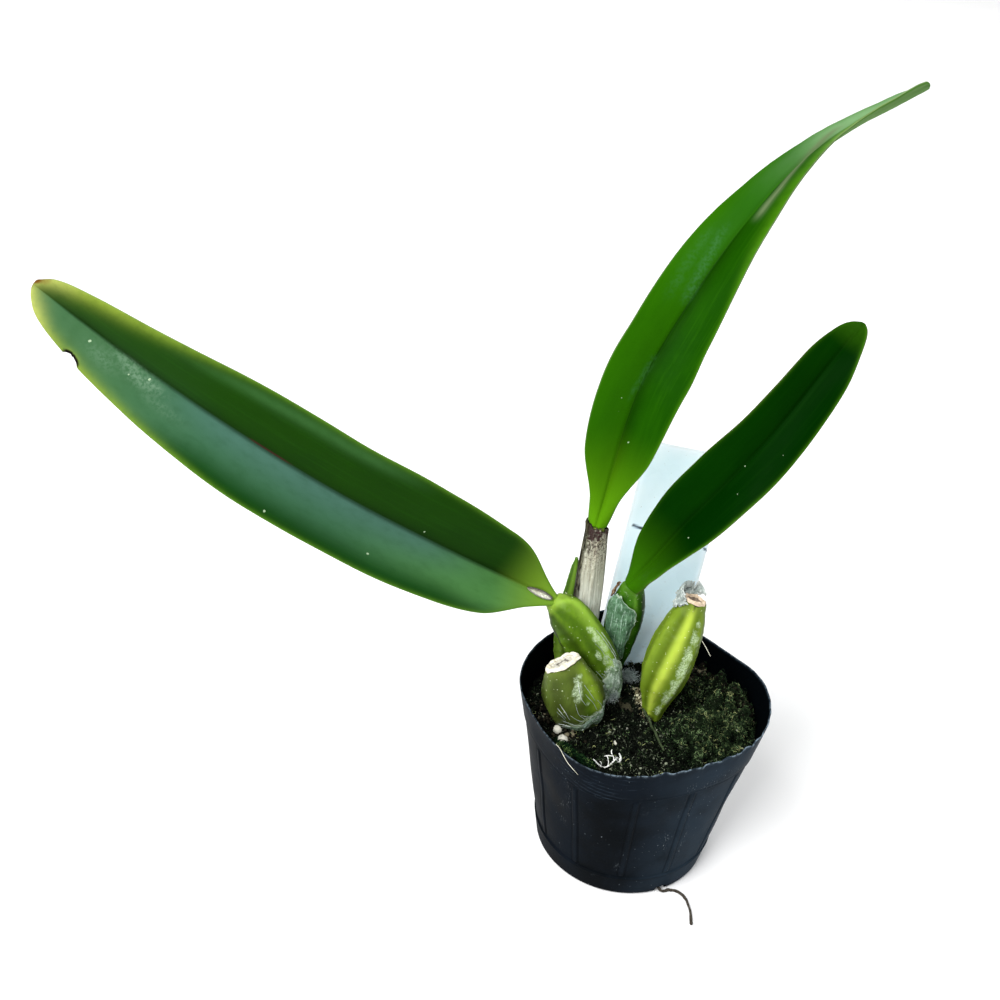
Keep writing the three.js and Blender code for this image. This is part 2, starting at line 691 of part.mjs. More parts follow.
add("sheath_right_cap", scrap(BULBS.bulb_right_cut, RIGHT_CAP), 0xb9bfb4, 0.85);
add("stray_root", cut(strayGeometry(), rhizomeGeometry(GAP), seat("bulb_right_cut")), 0x4f5a2c, 0.85);
add("label", labelGeometry(), 0xdde8f2, 0.5);
add("trailing_root", rootGeometry(), 0x4a4238, 0.9);

export default part;
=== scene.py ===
import math

import bmesh
import bpy
import numpy as np
from mathutils import Matrix, Vector, noise


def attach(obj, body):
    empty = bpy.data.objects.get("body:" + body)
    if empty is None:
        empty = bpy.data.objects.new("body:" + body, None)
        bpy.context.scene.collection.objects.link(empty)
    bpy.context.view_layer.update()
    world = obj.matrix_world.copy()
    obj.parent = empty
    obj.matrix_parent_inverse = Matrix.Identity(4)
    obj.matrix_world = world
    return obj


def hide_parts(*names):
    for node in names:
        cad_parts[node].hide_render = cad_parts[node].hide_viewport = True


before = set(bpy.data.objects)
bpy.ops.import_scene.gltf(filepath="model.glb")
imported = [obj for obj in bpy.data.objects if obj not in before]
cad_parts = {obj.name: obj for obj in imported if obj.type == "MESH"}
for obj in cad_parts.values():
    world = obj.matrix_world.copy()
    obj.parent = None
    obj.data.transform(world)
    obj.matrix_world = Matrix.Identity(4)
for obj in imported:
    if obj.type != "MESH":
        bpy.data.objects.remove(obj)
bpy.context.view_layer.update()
print("frame loaded:", len(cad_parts), "nodes")

mm = 0.001
tau = 2 * math.pi


# numbers along and across

def through(stations, values):
    # smooth value through a row of stations, flat beyond its ends
    st = np.asarray(stations, float)
    val = np.asarray(values, float)
    last = len(st) - 1
    before = np.maximum(np.arange(last + 1) - 1, 0)
    after = np.minimum(np.arange(last + 1) + 1, last)
    slope = (val[after] - val[before]) / (st[after] - st[before])

    def read(t):
        t = np.clip(t, st[0], st[-1])
        i = np.clip(np.searchsorted(st, t, side="left") - 1, 0, last - 1)
        span = st[i + 1] - st[i]
        f = (t - st[i]) / span
        near = val[i] * (1 + 2 * f) * (1 - f) ** 2 + slope[i] * span * f * (1 - f) ** 2
        return near + val[i + 1] * f * f * (3 - 2 * f) - slope[i + 1] * span * f * f * (1 - f)

    return read


def smooth(value, low, high):
    x = np.clip((value - low) / (high - low), 0, 1)
    return x * x * (3 - 2 * x)


def between(value, start, full, fade, end):
    # rises from start to full and falls again from fade to end
    return smooth(value, start, full) * (1 - smooth(value, fade, end))


def bell(gap, width, power=2):
    return np.exp(-((gap / width) ** power))


def eased(share, part):
    # moves a row's share towards both ends, so that rows lie closer there
    return (1 - part) * share + part * (0.5 - 0.5 * np.cos(math.pi * share))


def rounded(share):
    # quarter of a circle: 1 up to share 0, falling to 0 at share 1
    return np.sqrt(np.clip(1 - np.maximum(0, share) ** 2, 0, 1))


def strongest(spots, gaps):
    # the strongest of several soft spots, each with two places, two reaches and a weight
    total = 0.0
    for first, second, reach, spread, weight in spots:
        one, other = gaps(first, second)
        total = np.maximum(total, weight * np.exp(-((one / reach) ** 2) - (other / spread) ** 2))
    return total


def turnFrom(turn, degrees):
    # turn counted from an angle in degrees, within half a turn either way
    return np.angle(np.exp(1j * (turn - np.radians(degrees))))


def ringAt(radius, turn, height):
    return np.stack([radius * np.cos(turn), radius * np.sin(turn), height + 0 * turn], axis=1)


def curvePoint(points, t):
    # centripetal curve through the points
    p = np.asarray(points, float)
    last = len(p) - 1
    place = np.clip(t, 0, 1) * last
    i = np.minimum(np.floor(place).astype(int), last - 1)
    w = (place - i)[:, None]
    q = np.vstack([2 * p[0] - p[1], p, 2 * p[-1] - p[-2]])
    a, b, c, d = q[i], q[i + 1], q[i + 2], q[i + 3]

    def stride(first, second):
        return np.maximum(((first - second) ** 2).sum(1, keepdims=True) ** 0.25, 1e-6)

    d0, d1, d2 = stride(b, a), stride(c, b), stride(d, c)
    t1 = ((b - a) / d0 - (c - a) / (d0 + d1) + (c - b) / d1) * d1
    t2 = ((c - b) / d1 - (d - b) / (d1 + d2) + (d - c) / d2) * d1
    return b + t1 * w + (-3 * b + 3 * c - 2 * t1 - t2) * w ** 2 + (2 * b - 2 * c + t1 + t2) * w ** 3


def unit(v):
    return v / np.maximum(np.linalg.norm(v, axis=-1, keepdims=True), 1e-9)


def frameAt(points, t, facing):
    # place on the curve, its direction, and two directions across it, the first one facing the given way
    step = 1e-4
    at = curvePoint(points, t)
    along = unit(curvePoint(points, np.clip(t + step, 0, 1)) - curvePoint(points, np.clip(t - step, 0, 1)))
    facing = np.broadcast_to(np.asarray(facing, float), at.shape)
    front = unit(facing - (facing * along).sum(1, keepdims=True) * along)
    return at, along, front, np.cross(along, front)


def curveLength(points):
    return np.linalg.norm(np.diff(curvePoint(points, np.linspace(0, 1, 200)), axis=0), axis=1).sum()


def ripple(points, size, seed, waves=26):
    # even, unruly wave field of about one unit, with features of the given size
    rng = np.random.default_rng(seed)
    ways = unit(rng.normal(size=(waves, 3))) * rng.uniform(0.6, 1.5, (waves, 1)) * tau / size
    shifts = rng.uniform(0, tau, waves)
    return np.sin(points @ ways.T + shifts).sum(axis=1) / math.sqrt(waves / 2)


# meshes

def meshFrom(bm, name):
    mesh = bpy.data.meshes.new(name)
    bm.to_mesh(mesh)
    bm.free()
    return mesh


def laidGrid(name, around, along, place):
    # A grid whose points are placed by their share around and along; seams and poles are closed after that.
    bm = bmesh.new()
    bmesh.ops.create_grid(bm, x_segments=around, y_segments=along, size=1.0)
    mesh = meshFrom(bm, name)
    flat = np.empty(len(mesh.vertices) * 3)
    mesh.vertices.foreach_get("co", flat)
    flat = flat.reshape(-1, 3)
    points, marks = place((flat[:, 0] + 1) / 2, (flat[:, 1] + 1) / 2)
    mesh.vertices.foreach_set("co", (points * mm).ravel())
    setMarks(mesh, marks)
    closeMesh(mesh)
    return mesh


def setMarks(mesh, marks):
    for key, values in marks.items():
        if values.ndim == 1:
            layer = mesh.attributes.new(key, "FLOAT", "POINT")
            layer.data.foreach_set("value", values.astype(np.float32))
        else:
            layer = mesh.attributes.new(key, "FLOAT_VECTOR", "POINT")
            layer.data.foreach_set("vector", values.astype(np.float32).ravel())


def closeMesh(mesh):
    bm = bmesh.new()
    bm.from_mesh(mesh)
    bmesh.ops.remove_doubles(bm, verts=bm.verts, dist=1e-6)
    bmesh.ops.recalc_face_normals(bm, faces=bm.faces)
    if bm.calc_volume(signed=True) < 0:
        bmesh.ops.reverse_faces(bm, faces=bm.faces)
    bm.to_mesh(mesh)
    bm.free()


def laidSheet(name, across, along, surface, thickness, marks=None):
    # A thin closed sheet on a surface given by its share across and along, thinning to nothing at its border.
    def place(a, b):
        x = 0.5 - 0.5 * np.cos(tau * a)
        face = np.sign(np.sin(tau * a))
        y = eased(b, 0.5)
        step = 1e-3
        middle = surface(x, y)
        dx = surface(np.clip(x + step, 0, 1), y) - surface(np.clip(x - step, 0, 1), y)
        dy = surface(x, np.clip(y + step, 0, 1)) - surface(x, np.clip(y - step, 0, 1))
        normal = unit(np.cross(dx, dy))
        border = np.minimum(1, 14 * np.minimum(x, 1 - x)) * np.minimum(1, 14 * np.minimum(b, 1 - b))
        border[(b < 1e-6) | (b > 1 - 1e-6)] = 0
        half = thickness / 2 * np.sqrt(np.clip(border, 0, 1))
        half[np.abs(np.sin(tau * a)) < 1e-6] = 0
        edge = np.minimum(np.minimum(x, 1 - x), np.minimum(y, 1 - y))
        found = {"across": 2 * x - 1, "edge": edge, "front": (face > 0).astype(float)}
        if marks:
            found.update(marks(x, y))
        return middle + normal * (face * half)[:, None], found

    return laidGrid(name, 2 * across, along, place)


def scattered(name, seedMesh, count, move, tones):
    # Many copies of one small mesh: move places all their points at once, and each copy has its own tone.
    bm = bmesh.new()
    for _ in range(count):
        bm.from_mesh(seedMesh)
    mesh = meshFrom(bm, name)
    each = len(seedMesh.vertices)
    seed = np.empty(each * 3)
    seedMesh.vertices.foreach_get("co", seed)
    points = move(seed.reshape(each, 3))
    mesh.vertices.foreach_set("co", (points * mm).ravel())
    setMarks(mesh, {"tone": np.repeat(tones, each)})
    mesh.update()
    return mesh


def strandSeed(sides, steps):
    # straight rod from 0 to 1, capped, cut into rings
    bm = bmesh.new()
    bmesh.ops.create_cone(bm, cap_ends=True, segments=sides, radius1=1, radius2=1, depth=1)
    rods = [e for e in bm.edges if abs(e.verts[0].co.z - e.verts[1].co.z) > 0.5]
    bmesh.ops.subdivide_edges(bm, edges=rods, cuts=steps - 1, use_grid_fill=True)
    bmesh.ops.translate(bm, verts=bm.verts, vec=(0, 0, 0.5))
    bmesh.ops.recalc_face_normals(bm, faces=bm.faces)
    return meshFrom(bm, "strandSeed")


def strands(name, paths, radii, facing, tones, sides=3, tip=0.35):
    # Thin rods along paths of shape (count, steps + 1, 3), thinner at their tips.
    count, rings, _ = paths.shape
    along = unit(np.gradient(paths, axis=1))
    facing = facing[:, None, :]
    normal = unit(facing - (facing * along).sum(-1, keepdims=True) * along)
    side = np.cross(along, normal)

    def move(seed):
        turn = np.arctan2(seed[:, 1], seed[:, 0])
        ring = np.rint(seed[:, 2] * (rings - 1)).astype(int)
        share = ring / (rings - 1)
        thin = tip + (1 - tip) * np.sin(math.pi * np.clip(share * 0.9 + 0.05, 0, 1)) ** 0.6
        out = radii[:, None] * thin[None, :]
        return (
            paths[:, ring]
            + normal[:, ring] * (out * np.cos(turn))[..., None]
            + side[:, ring] * (out * np.sin(turn))[..., None]
        ).reshape(-1, 3)

    return scattered(name, strandSeed(sides, rings - 1), count, move, tones)


crumbForm = {"flattest": 0.75, "longest": 1.25, "rough": 0.3}


def crumbs(name, centres, sizes, seed, tones):
    # Small knobbly grains, each turned and pushed out of round its own way.
    rng = np.random.default_rng(seed)
    bm = bmesh.new()
    bmesh.ops.create_icosphere(bm, subdivisions=1, radius=1.0)
    count = len(centres)
    turns = np.linalg.qr(rng.normal(size=(count, 3, 3)))[0]
    turns *= np.sign(np.linalg.det(turns))[:, None, None]
    stretch = rng.uniform(crumbForm["flattest"], crumbForm["longest"], (count, 1, 3))

    def move(ball):
        knobs = 1 + rng.uniform(-crumbForm["rough"], crumbForm["rough"], (count, len(ball), 1))
        local = ball[None] * knobs * stretch * sizes[:, None, None]
        return (local @ turns.transpose(0, 2, 1) + centres[:, None, :]).reshape(-1, 3)

    return scattered(name, meshFrom(bm, "grain"), count, move, tones)


def addPiece(name, mesh, material, replaced=()):
    mesh.materials.append(material)
    mesh.polygons.foreach_set("use_smooth", np.ones(len(mesh.polygons), dtype=bool))
    mesh.update()
    piece = bpy.data.objects.new(name, mesh)
    bpy.context.scene.collection.objects.link(piece)
    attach(piece, "root")
    if replaced:
        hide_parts(*replaced)


# finishes

def tint(red, green, blue):
    # screen colour, 0 to 255, as the linear colour that shaders take
    def linear(c):
        c = c / 255
        return c / 12.92 if c <= 0.04045 else ((c + 0.055) / 1.055) ** 2.4

    return (linear(red), linear(green), linear(blue), 1.0)


class Finish:
    # A material under a Principled shader, with short ways to add nodes. The coat is its colour so far.
    def __init__(self, name, roughness, specular):
        self.material = bpy.data.materials.new(name)
        self.material.use_nodes = True
        self.tree = self.material.node_tree
        self.tree.nodes.clear()
        out = self.add("OutputMaterial")
        self.surface = self.add("BsdfPrincipled")
        self.tree.links.new(self.surface.outputs["BSDF"], out.inputs["Surface"])
        self.surface.inputs["Roughness"].default_value = roughness
        self.surface.inputs["Specular IOR Level"].default_value = specular
        self.place = self.add("TexCoord").outputs["Object"]

    def add(self, kind, **settings):
        node = self.tree.nodes.new("ShaderNode" + kind)
        for key, value in settings.items():
            setattr(node, key, value)
        return node

    def feed(self, socket, value):
        # the value is another node's output, the name of a mark, or plain
        if isinstance(value, str):
            value = self.mark(value)
        if isinstance(value, bpy.types.NodeSocket):
            self.tree.links.new(value, socket)
        else:
            socket.default_value = value

    def mark(self, name, output="Fac"):
        return self.add("Attribute", attribute_name=name).outputs[output]

    def sum(self, kind, first, second=0.0):
        node = self.add("Math", operation=kind)
        self.feed(node.inputs[0], first)
        self.feed(node.inputs[1], second)
        return node.outputs[0]

    def times(self, first, second):
        return self.sum("MULTIPLY", first, second)

    def plus(self, first, second):
        return self.sum("ADD", first, second)

    def steps(self, value, low, high, bottom=0.0, top=1.0):
        # soft step from bottom to top, as the value goes from low to high
        node = self.add("MapRange", interpolation_type="SMOOTHSTEP")
        sockets = ("Value", "From Min", "From Max", "To Min", "To Max")
        for key, given in zip(sockets, (value, low, high, bottom, top)):
            self.feed(node.inputs[key], given)
        return node.outputs["Result"]

    def blend(self, share, first, second):
        # a colour of three numbers is a screen colour
        node = self.add("Mix", data_type="RGBA")
        for number, value in ((0, share), (6, first), (7, second)):
            if isinstance(value, tuple) and len(value) == 3:
                value = tint(*value)
            self.feed(node.inputs[number], value)
        return node.outputs[2]

    def paint(self, share, tone):
        self.coat = self.blend(share, self.coat, tone)

    def grain(self, size, detail=3.0, stretch=(1, 1, 1), vector=None):
        # noise with features of the given size in mm; the vector is in metres, or a mark in mm
        mapping = self.add("Mapping")
        self.feed(mapping.inputs["Vector"], vector or self.place)
        mapping.inputs["Scale"].default_value = stretch
        node = self.add("TexNoise")
        self.tree.links.new(mapping.outputs["Vector"], node.inputs["Vector"])
        node.inputs["Scale"].default_value = (1.0 if vector else 1000.0) / size
        node.inputs["Detail"].default_value = detail
        node.inputs["Roughness"].default_value = 0.55
        return node.outputs["Fac"]

    def firstOf(self, vector):
        node = self.add("SeparateXYZ")
        self.feed(node.inputs[0], vector)
        return node.outputs[0]

    def gloss(self, value):
        self.feed(self.surface.inputs["Roughness"], value)

    def glow(self, weight, reach, scale):
        # light that soaks in, and how far its red, green and blue go
        for key, value in (("Weight", weight), ("Radius", reach), ("Scale", scale)):
            self.surface.inputs["Subsurface " + key].default_value = value

    def bump(self, height, depth, strength):
        # depth in mm
        node = self.add("Bump")
        node.inputs["Strength"].default_value = strength
        node.inputs["Distance"].default_value = depth * mm
        self.feed(node.inputs["Height"], height)
        self.tree.links.new(node.outputs["Normal"], self.surface.inputs["Normal"])

    def done(self):
        self.feed(self.surface.inputs["Base Color"], self.coat)
        return self.material


# soft pot

potForm = {
    "height": 74.0, "rim": 45.0, "foot": 32.5, "wall": 0.9, "floor": 1.4,
    "bandFoot": 59.5, "footBand": 10.0, "step": 0.6, "chamfer": 0.8, "lipThinned": 0.45,
    "ribs": 12, "ribTurn": -2.0, "ribHalf": 1.1, "ribDepth": 0.34,
    "waves": [(-0.018, 1, -0.22), (0.043, 3, 0.43), (0.028, 4, 0.35), (0.019, 5, -2.36)],
    "drains": 8, "drainRadius": 3.0, "drainCircle": 21.0,
    "slot": {"length": 13.0, "width": 4.8, "height": 2.7, "rounding": 1.1, "at": (15.6, -29.7),
             "share": 0.91},
    "middle": 40.0, "grid": (432, 176),
}


def potRadius(turn, height):
    swell = sum(share * np.cos(count * turn + phase) for share, count, phase in potForm["waves"])
    rise = np.maximum(0, height) / potForm["height"]
    return potForm["foot"] + (potForm["rim"] * (1 + swell) - potForm["foot"]) * rise


def tornShare(turn, low):
    # the lip is most torn at the front right
    return smooth(np.cos(turn + 0.95), low, 0.95)


# nicks in the lip: turn in degrees, width and depth
lipNicks = [(-52, 1.1, 0.55), (-71, 0.8, 0.5), (-41, 0.9, 0.6), (-33, 1.4, 0.4), (-62, 0.6, 0.4)]


def lipHeight(turn):
    # soft waves, small tears and a few nicks round the top edge
    ring = ringAt(potForm["rim"], turn, 0)
    torn = tornShare(turn, 0.55)
    rough = 0.35 * ripple(ring, 34, 13) + (0.03 + 0.11 * torn) * ripple(ring, 5.5, 11)
    rough += (0.02 + 0.07 * torn) * ripple(ring, 2.6, 14) + (0.01 + 0.04 * torn) * ripple(ring, 1.3, 12)
    for angle, width, depth in lipNicks:
        rough -= depth * bell(turnFrom(turn, angle) * potForm["rim"], width, 4)
    return potForm["height"] + rough


# scuffs on the wall: turn in degrees, height, and reach across and up, with their weight
potScuffs = [(-69.8, 34, 2.2, 2.8, 1.0), (-70, 29, 1.6, 2.2, 0.6), (-126.2, 56, 0.9, 2.6, 0.7),
             (-126.4, 46, 0.8, 5, 0.8), (-131, 42, 1.2, 2.0, 0.6), (-131.4, 33, 1.6, 2.0, 0.6),
             (-59.8, 46, 0.7, 5, 0.8), (-57, 26, 0.8, 10, 0.7), (-64.8, 62.8, 1.6, 1.6, 0.8),
             (-54, 62, 3.4, 1.6, 0.6), (-45, 64, 5.0, 2.6, 0.4), (-95, 17, 0.9, 2.5, 0.6),
             (-66, 50, 0.8, 5, 0.5), (-60, 12, 1.4, 2, 0.4)]


def scuffs(turn, height):
    middle = potForm["middle"]
    return strongest(potScuffs, lambda angle, high: (turnFrom(turn, angle) * middle, height - high))


def crescents(turn, height):
    # curved drag lines under the rim at the front left, sagging towards the front
    angle = np.degrees(turn)
    sag = height + 9.0 * smooth(angle, -150, -92) + 0.5 * np.sin(5 * turn)
    return np.sin(sag * 3.1) * between(angle, -150, -132, -104, -90) * between(height, 55, 60, 70, 73)


def potPlace(a, b):
    form = potForm
    top, chamfer, step, floor = form["height"], form["chamfer"], form["step"], form["floor"]
    low, shelf = form["footBand"], form["bandFoot"]
    base = tau * a + math.pi / 2
    ribAngle = math.radians(form["ribTurn"])
    turn = base - 0.5 / form["ribs"] * np.sin(form["ribs"] * (base - ribAngle))
    facing = turnFrom(turn, 0)
    # rows: floor from below, chamfer, outside, lip, inside, floor from above
    rowShare = [0.0, 0.05, 0.06, 0.12, 0.16, 0.44, 0.50, 0.62, 0.635, 0.65, 0.72, 0.78, 0.93, 1.0]
    outer = [low - 0.3, low + 0.9, shelf - 0.9, shelf + 0.3, top - 0.6]
    rowHeight = [0, 0, chamfer] + outer + [top] + outer[:1:-1] + [floor, floor]
    rowSpread = [0] + 12 * [1] + [0]
    height = np.interp(b, rowShare, rowHeight)
    inner = smooth(b, 0.6275, 0.6425)
    # ribs on the sunk panel between the two bands
    panel = between(height, low, low + step, shelf - step, shelf)
    pitch = tau / form["ribs"]
    off = (turn + math.pi / 2 - ribAngle + pitch / 2) % pitch - pitch / 2
    away = np.abs(off) * potRadius(turn, height)
    rib = form["ribDepth"] * (1 - smooth(away, form["ribHalf"] - 0.45, form["ribHalf"] + 0.15))
    rib -= 0.16 * bell(away - form["ribHalf"] - 0.35, 0.28)
    rib *= between(height, low + 0.9, low + 1.9, shelf - 1.9, shelf - 0.9)
    ribbed = (height > low + 1) * (height < shelf - 1.5)
    # dents, drag lines and the grooves at the bands
    ring = ringAt(form["rim"], turn, height)
    dents = 0.16 * ripple(ring, 26, 3) * smooth(height, 2, 20)
    drag = 0.05 * np.sin(4.6 * height + 1.4 * ripple(ring * [1, 1, 0.15], 30, 5)) * smooth(height, 61, 64)
    drag = drag * (0.5 + 0.5 * np.clip(ripple(ring, 18, 6), -1, 1))
    grooves = -0.12 * bell(height - shelf - 0.9, 0.3) - 0.14 * bell(height - low + 0.8, 0.3)
    outside = potRadius(turn, height) - step * panel + (rib + drag + grooves) * (1 - inner) + dents
    wall = form["wall"] - form["lipThinned"] * smooth(height, 70, top)
    radius = np.where(b < 0.06, form["foot"] - chamfer + height, outside - wall * inner)
    flare = (0.02 + 0.14 * tornShare(turn, 0.5)) * ripple(ring * [1, 1, 0], 5, 8)
    radius = radius * np.interp(b, rowShare, rowSpread) + flare * smooth(height, 71.5, top)
    lip = smooth(height, 66, top) * (lipHeight(turn) - top)
    marks = {
        "lip": smooth(height, top - 0.9, top - 0.1), "inside": inner, "torn": tornShare(turn, 0.4),
        "rib": bell(away - 1.3, 0.28) * ribbed, "ribTop": bell(away, 0.6) * ribbed,
        "dusty": between(facing, -1.75, -0.79, 1.0, 2.6), "level": height / top,
        "flow": ring[:, [1, 0, 2]], "scuff": scuffs(turn, height),
        "seam": bell(height - shelf - 0.5, 0.3) + bell(height - low + 0.4, 0.3),
        "crescent": crescents(facing, height),
    }
    return ringAt(radius, turn, height + lip), marks


def cutWith(mesh, tools, name):
    # exact boolean difference; the tools are thrown away afterwards
    block = bpy.data.objects.new(name, mesh)
    cutter = bpy.data.objects.new(name + "Cutter", tools)
    for part in (block, cutter):
        bpy.context.scene.collection.objects.link(part)
    change = block.modifiers.new("cut", "BOOLEAN")
    change.operation = "DIFFERENCE"
    change.solver = "EXACT"
    change.object = cutter
    graph = bpy.context.evaluated_depsgraph_get()
    result = bpy.data.meshes.new_from_object(block.evaluated_get(graph), depsgraph=graph)
    bpy.data.objects.remove(block)
    bpy.data.objects.remove(cutter)
    return result


def potCutters():
    form = potForm
    bm = bmesh.new()
    drain = form["drainRadius"] * mm
    for k in range(form["drains"]):
        turn = (k + 0.5) / form["drains"] * tau
        place = Vector((math.cos(turn), math.sin(turn), 0)) * form["drainCircle"] * mm
        bmesh.ops.create_cone(bm, cap_ends=True, segments=40, radius1=drain, radius2=drain, depth=6 * mm,
                              matrix=Matrix.Translation(place))
    slot = form["slot"]
    turn = math.atan2(slot["at"][1], slot["at"][0])
    size = Matrix.Diagonal((slot["length"] * mm, slot["width"] * mm, 2 * slot["height"] * mm, 1))
    place = Vector((slot["at"][0], slot["at"][1], 0)) * slot["share"] * mm
    placed = Matrix.Translation(place) @ Matrix.Rotation(turn, 4, "Z") @ size
    box = bmesh.ops.create_cube(bm, size=1.0, matrix=placed)
    top = [v for v in box["verts"] if v.co.z > 0]
    edges = [e for e in bm.edges if e.verts[0] in top and e.verts[1] in top]
    bmesh.ops.bevel(bm, geom=edges, offset=slot["rounding"] * mm, offset_type="OFFSET", segments=4,
                    profile=0.5, affect="EDGES", material=-1, clamp_overlap=True)
    return meshFrom(bm, "cutters")


def potFinish():
    f = Finish("thinBlackPlastic", 0.42, 0.006)
    flow = f.mark("flow", "Vector")
    clouds = f.grain(16, 4)
    fine = f.grain(1.4, 4)
    f.coat = f.blend(f.steps(clouds, 0.35, 0.7), (8, 11, 14), (14, 19, 25))
    f.paint(f.steps("level", 0.75, 1.0, 0.0, 0.35), (16, 23, 32))
    # lighter on the front and right side of the pot: partly dust, partly painted light on that side
    f.paint(f.times("dusty", f.steps(clouds, 0.3, 0.6, 0.45, 0.85)), (37, 48, 58))
    # painted highlight on the rib crests and painted shade in the grooves at their feet
    f.paint(f.times("ribTop", 0.12), (28, 37, 46))
    f.paint(f.times("rib", 0.5), (3, 4, 6))
    f.paint(f.times("seam", 0.32), (3, 4, 6))
    broken = f.steps(f.grain(5, 4, (1, 0.5, 1), flow), 0.4, 0.62)
    f.paint(f.times(broken, f.steps("crescent", 0.2, 1.0, 0.0, 0.7)), (40, 50, 60))
    f.paint(f.times(broken, f.steps("crescent", -0.2, -1.0, 0.0, 0.5)), (4, 5, 8))
    # drag lines that run round under the rim
    lines = f.grain(0.55, 3, (0.035, 0.035, 1.0), flow)
    marked = f.times(f.steps(lines, 0.60, 0.74), f.steps(f.grain(9, 2), 0.45, 0.66))
    marked = f.times(marked, f.steps("level", 0.6, 0.92, 0.04, 0.55))
    f.paint(marked, (58, 70, 82))
    # whitish scuffs and dusty flecks
    uprights = f.grain(0.6, 3, (1.0, 1.0, 0.3), flow)
    scratched = f.times(f.steps(uprights, 0.54, 0.66), f.steps(f.grain(0.4, 3), 0.48, 0.62))
    f.paint(f.times(scratched, "scuff"), (136, 144, 148))
    flecks = f.times(f.steps(f.grain(0.75, 1), 0.745, 0.765), f.steps(f.grain(11, 2), 0.48, 0.62))
    f.paint(f.times(flecks, 0.5), (128, 138, 144))
    film = f.times(f.steps(f.grain(5, 5), 0.6, 0.8), f.steps(fine, 0.45, 0.65))
    f.paint(f.times(film, 0.1), (90, 98, 104))
    # worn edge, whitest where it is torn, with a painted highlight along the whole lip
    wornLipAndHighlight = f.times("lip", f.steps(f.grain(1.6, 4), 0.4, 0.62, 0.05, 1.0))
    wornLipAndHighlight = f.times(wornLipAndHighlight, f.steps("torn", 0.0, 0.8, 0.3, 0.85))
    f.paint(wornLipAndHighlight, (120, 136, 148))
    # painted shade on the inside below the lip, and the muddy inside
    f.paint(f.times("inside", f.steps("lip", 1.0, 0.0)), (3, 5, 7))
    mud = f.times("inside", f.steps(f.grain(4, 5), 0.58, 0.76))
    f.paint(f.times(mud, f.steps("level", 0.97, 0.85, 0.0, 0.12)), (40, 42, 34))
    f.gloss(f.steps(f.plus(clouds, f.times(marked, 0.4)), 0.3, 0.9, 0.36, 0.58))
    f.bump(f.plus(f.times(lines, 0.5), f.times(fine, 0.5)), 0.12, 0.5)
    return f.done()


potMesh = laidGrid("softPot", *potForm["grid"], potPlace)
addPiece("soft_pot", cutWith(potMesh, potCutters(), "softPot"), potFinish(), ["pot"])
print("pot made")


# bulbs

fifths = [0, 0.2, 0.4, 0.6, 0.8, 1]
bulbFront = (0, -1, 0.2)
bulbForms = {
    "bulb_left": {
        "points": [(-12.5, 8, 57), (-14.5, 8.4, 68), (-18.5, 9, 77.5), (-25, 10.2, 88), (-31.4, 12.5, 96),
                   (-36, 14, 99.7)],
        "radii": [4, 7, 8.4, 8.4, 7.2, 4], "flat": 0.76, "ridges": 7, "dome": 0.3, "relief": 0.7,
        "twist": ([0, 0.3, 0.65, 0.8, 1], [0, 0, -6, -22, -36]),
    },
    "bulb_middle": {
        "points": [(-13, 20, 57), (-11.3, 19.6, 68), (-9.6, 19.6, 84), (-8.6, 20, 96), (-7.9, 20, 105.2)],
        "radii": [2.8, 4.1, 5.9, 6.8, 6.1, 4.2], "flat": 0.75, "ridges": 7, "dome": 0.3,
    },
    "bulb_back": {
        "points": [(-22.4, 22, 56), (-23.2, 23, 80), (-23.6, 23.5, 104), (-23.8, 23.5, 128.1)],
        "radii": [2.6, 3.5, 4.1, 4.1, 3.6, 2.8], "flat": 0.9, "ridges": 6, "dome": 0.3,
    },
    "bulb_rear": {
        "points": [(-28.5, 19, 58), (-31, 23.5, 73), (-29.8, 30, 86.5), (-28.8, 33.5, 96.8),
                   (-28.7, 34.5, 104.2)],
        "radii": [2.2, 2.7, 3, 2.7, 1.9, 0.8], "flat": 0.85, "ridges": 5, "dome": 1.0,
    },
    "bulb_right_cut": {
        "points": [(4.2, -2, 56), (4.7, -0.7, 70), (7.4, 2.4, 87), (10.6, 6, 99), (13.2, 9, 109.8)],
        "radii": [2.0, 4.4, 8.3, 8.6, 7.2, 4.6], "flat": 0.86, "ridges": 7, "dome": -0.5,
        "twist": ([0, 0.17, 0.32, 0.45, 1], [-27, -27, -20, -12, -1]),
    },
    "bulb_front_cut": {
        "points": [(-20.6, -4.2, 56), (-22.8, -5.6, 65), (-27.2, -6.4, 76), (-31.2, -5.5, 87)],
        "radii": [3, 6.6, 10.1, 11, 9.4, 6.6], "flat": 0.9, "ridges": 7, "dome": -0.22, "slant": (2.1, 45),
    },
}


def bulbTwist(form, t):
    return np.radians(np.interp(t, *form.get("twist", ([0, 1], [0, 0]))))


def bulbPoint(form, t, turn, out=0.0, share=1.0, lift=0.0):
    # t from foot to top, turn from the front, out beyond the skin, share of the radius, lift along the bulb
    within = np.clip(t, 0, 1)
    at, along, front, side = frameAt(form["points"], within, bulbFront)
    ridge = form["ridges"] * (turn - bulbTwist(form, within))
    relief = form.get("relief", 1.0) * (0.045 * np.cos(ridge) + 0.012 * np.cos(2 * ridge))
    relief = relief * np.sin(math.pi * np.minimum(1, within + 0.15))
    radius = through(fifths, form["radii"])(within) * (1 + relief)
    rise, towards = form.get("slant", (0, 0))
    tilt = rise * np.cos(turn - math.radians(towards)) * within ** 6 * share
    far = (t - within) * curveLength(form["points"]) + tilt + lift
    wide = (radius * form["flat"] + out) * share * np.cos(turn)
    deep = (radius + out) * share * np.sin(turn)
    return at + along * far[:, None] + front * wide[:, None] + side * deep[:, None]


def patches(t, turn, spots):
    # soft patches at (t, degrees), each with its reach in t and degrees and its weight
    return 0 * t + strongest(spots, lambda place, angle: (t - place, np.degrees(turnFrom(turn, angle))))


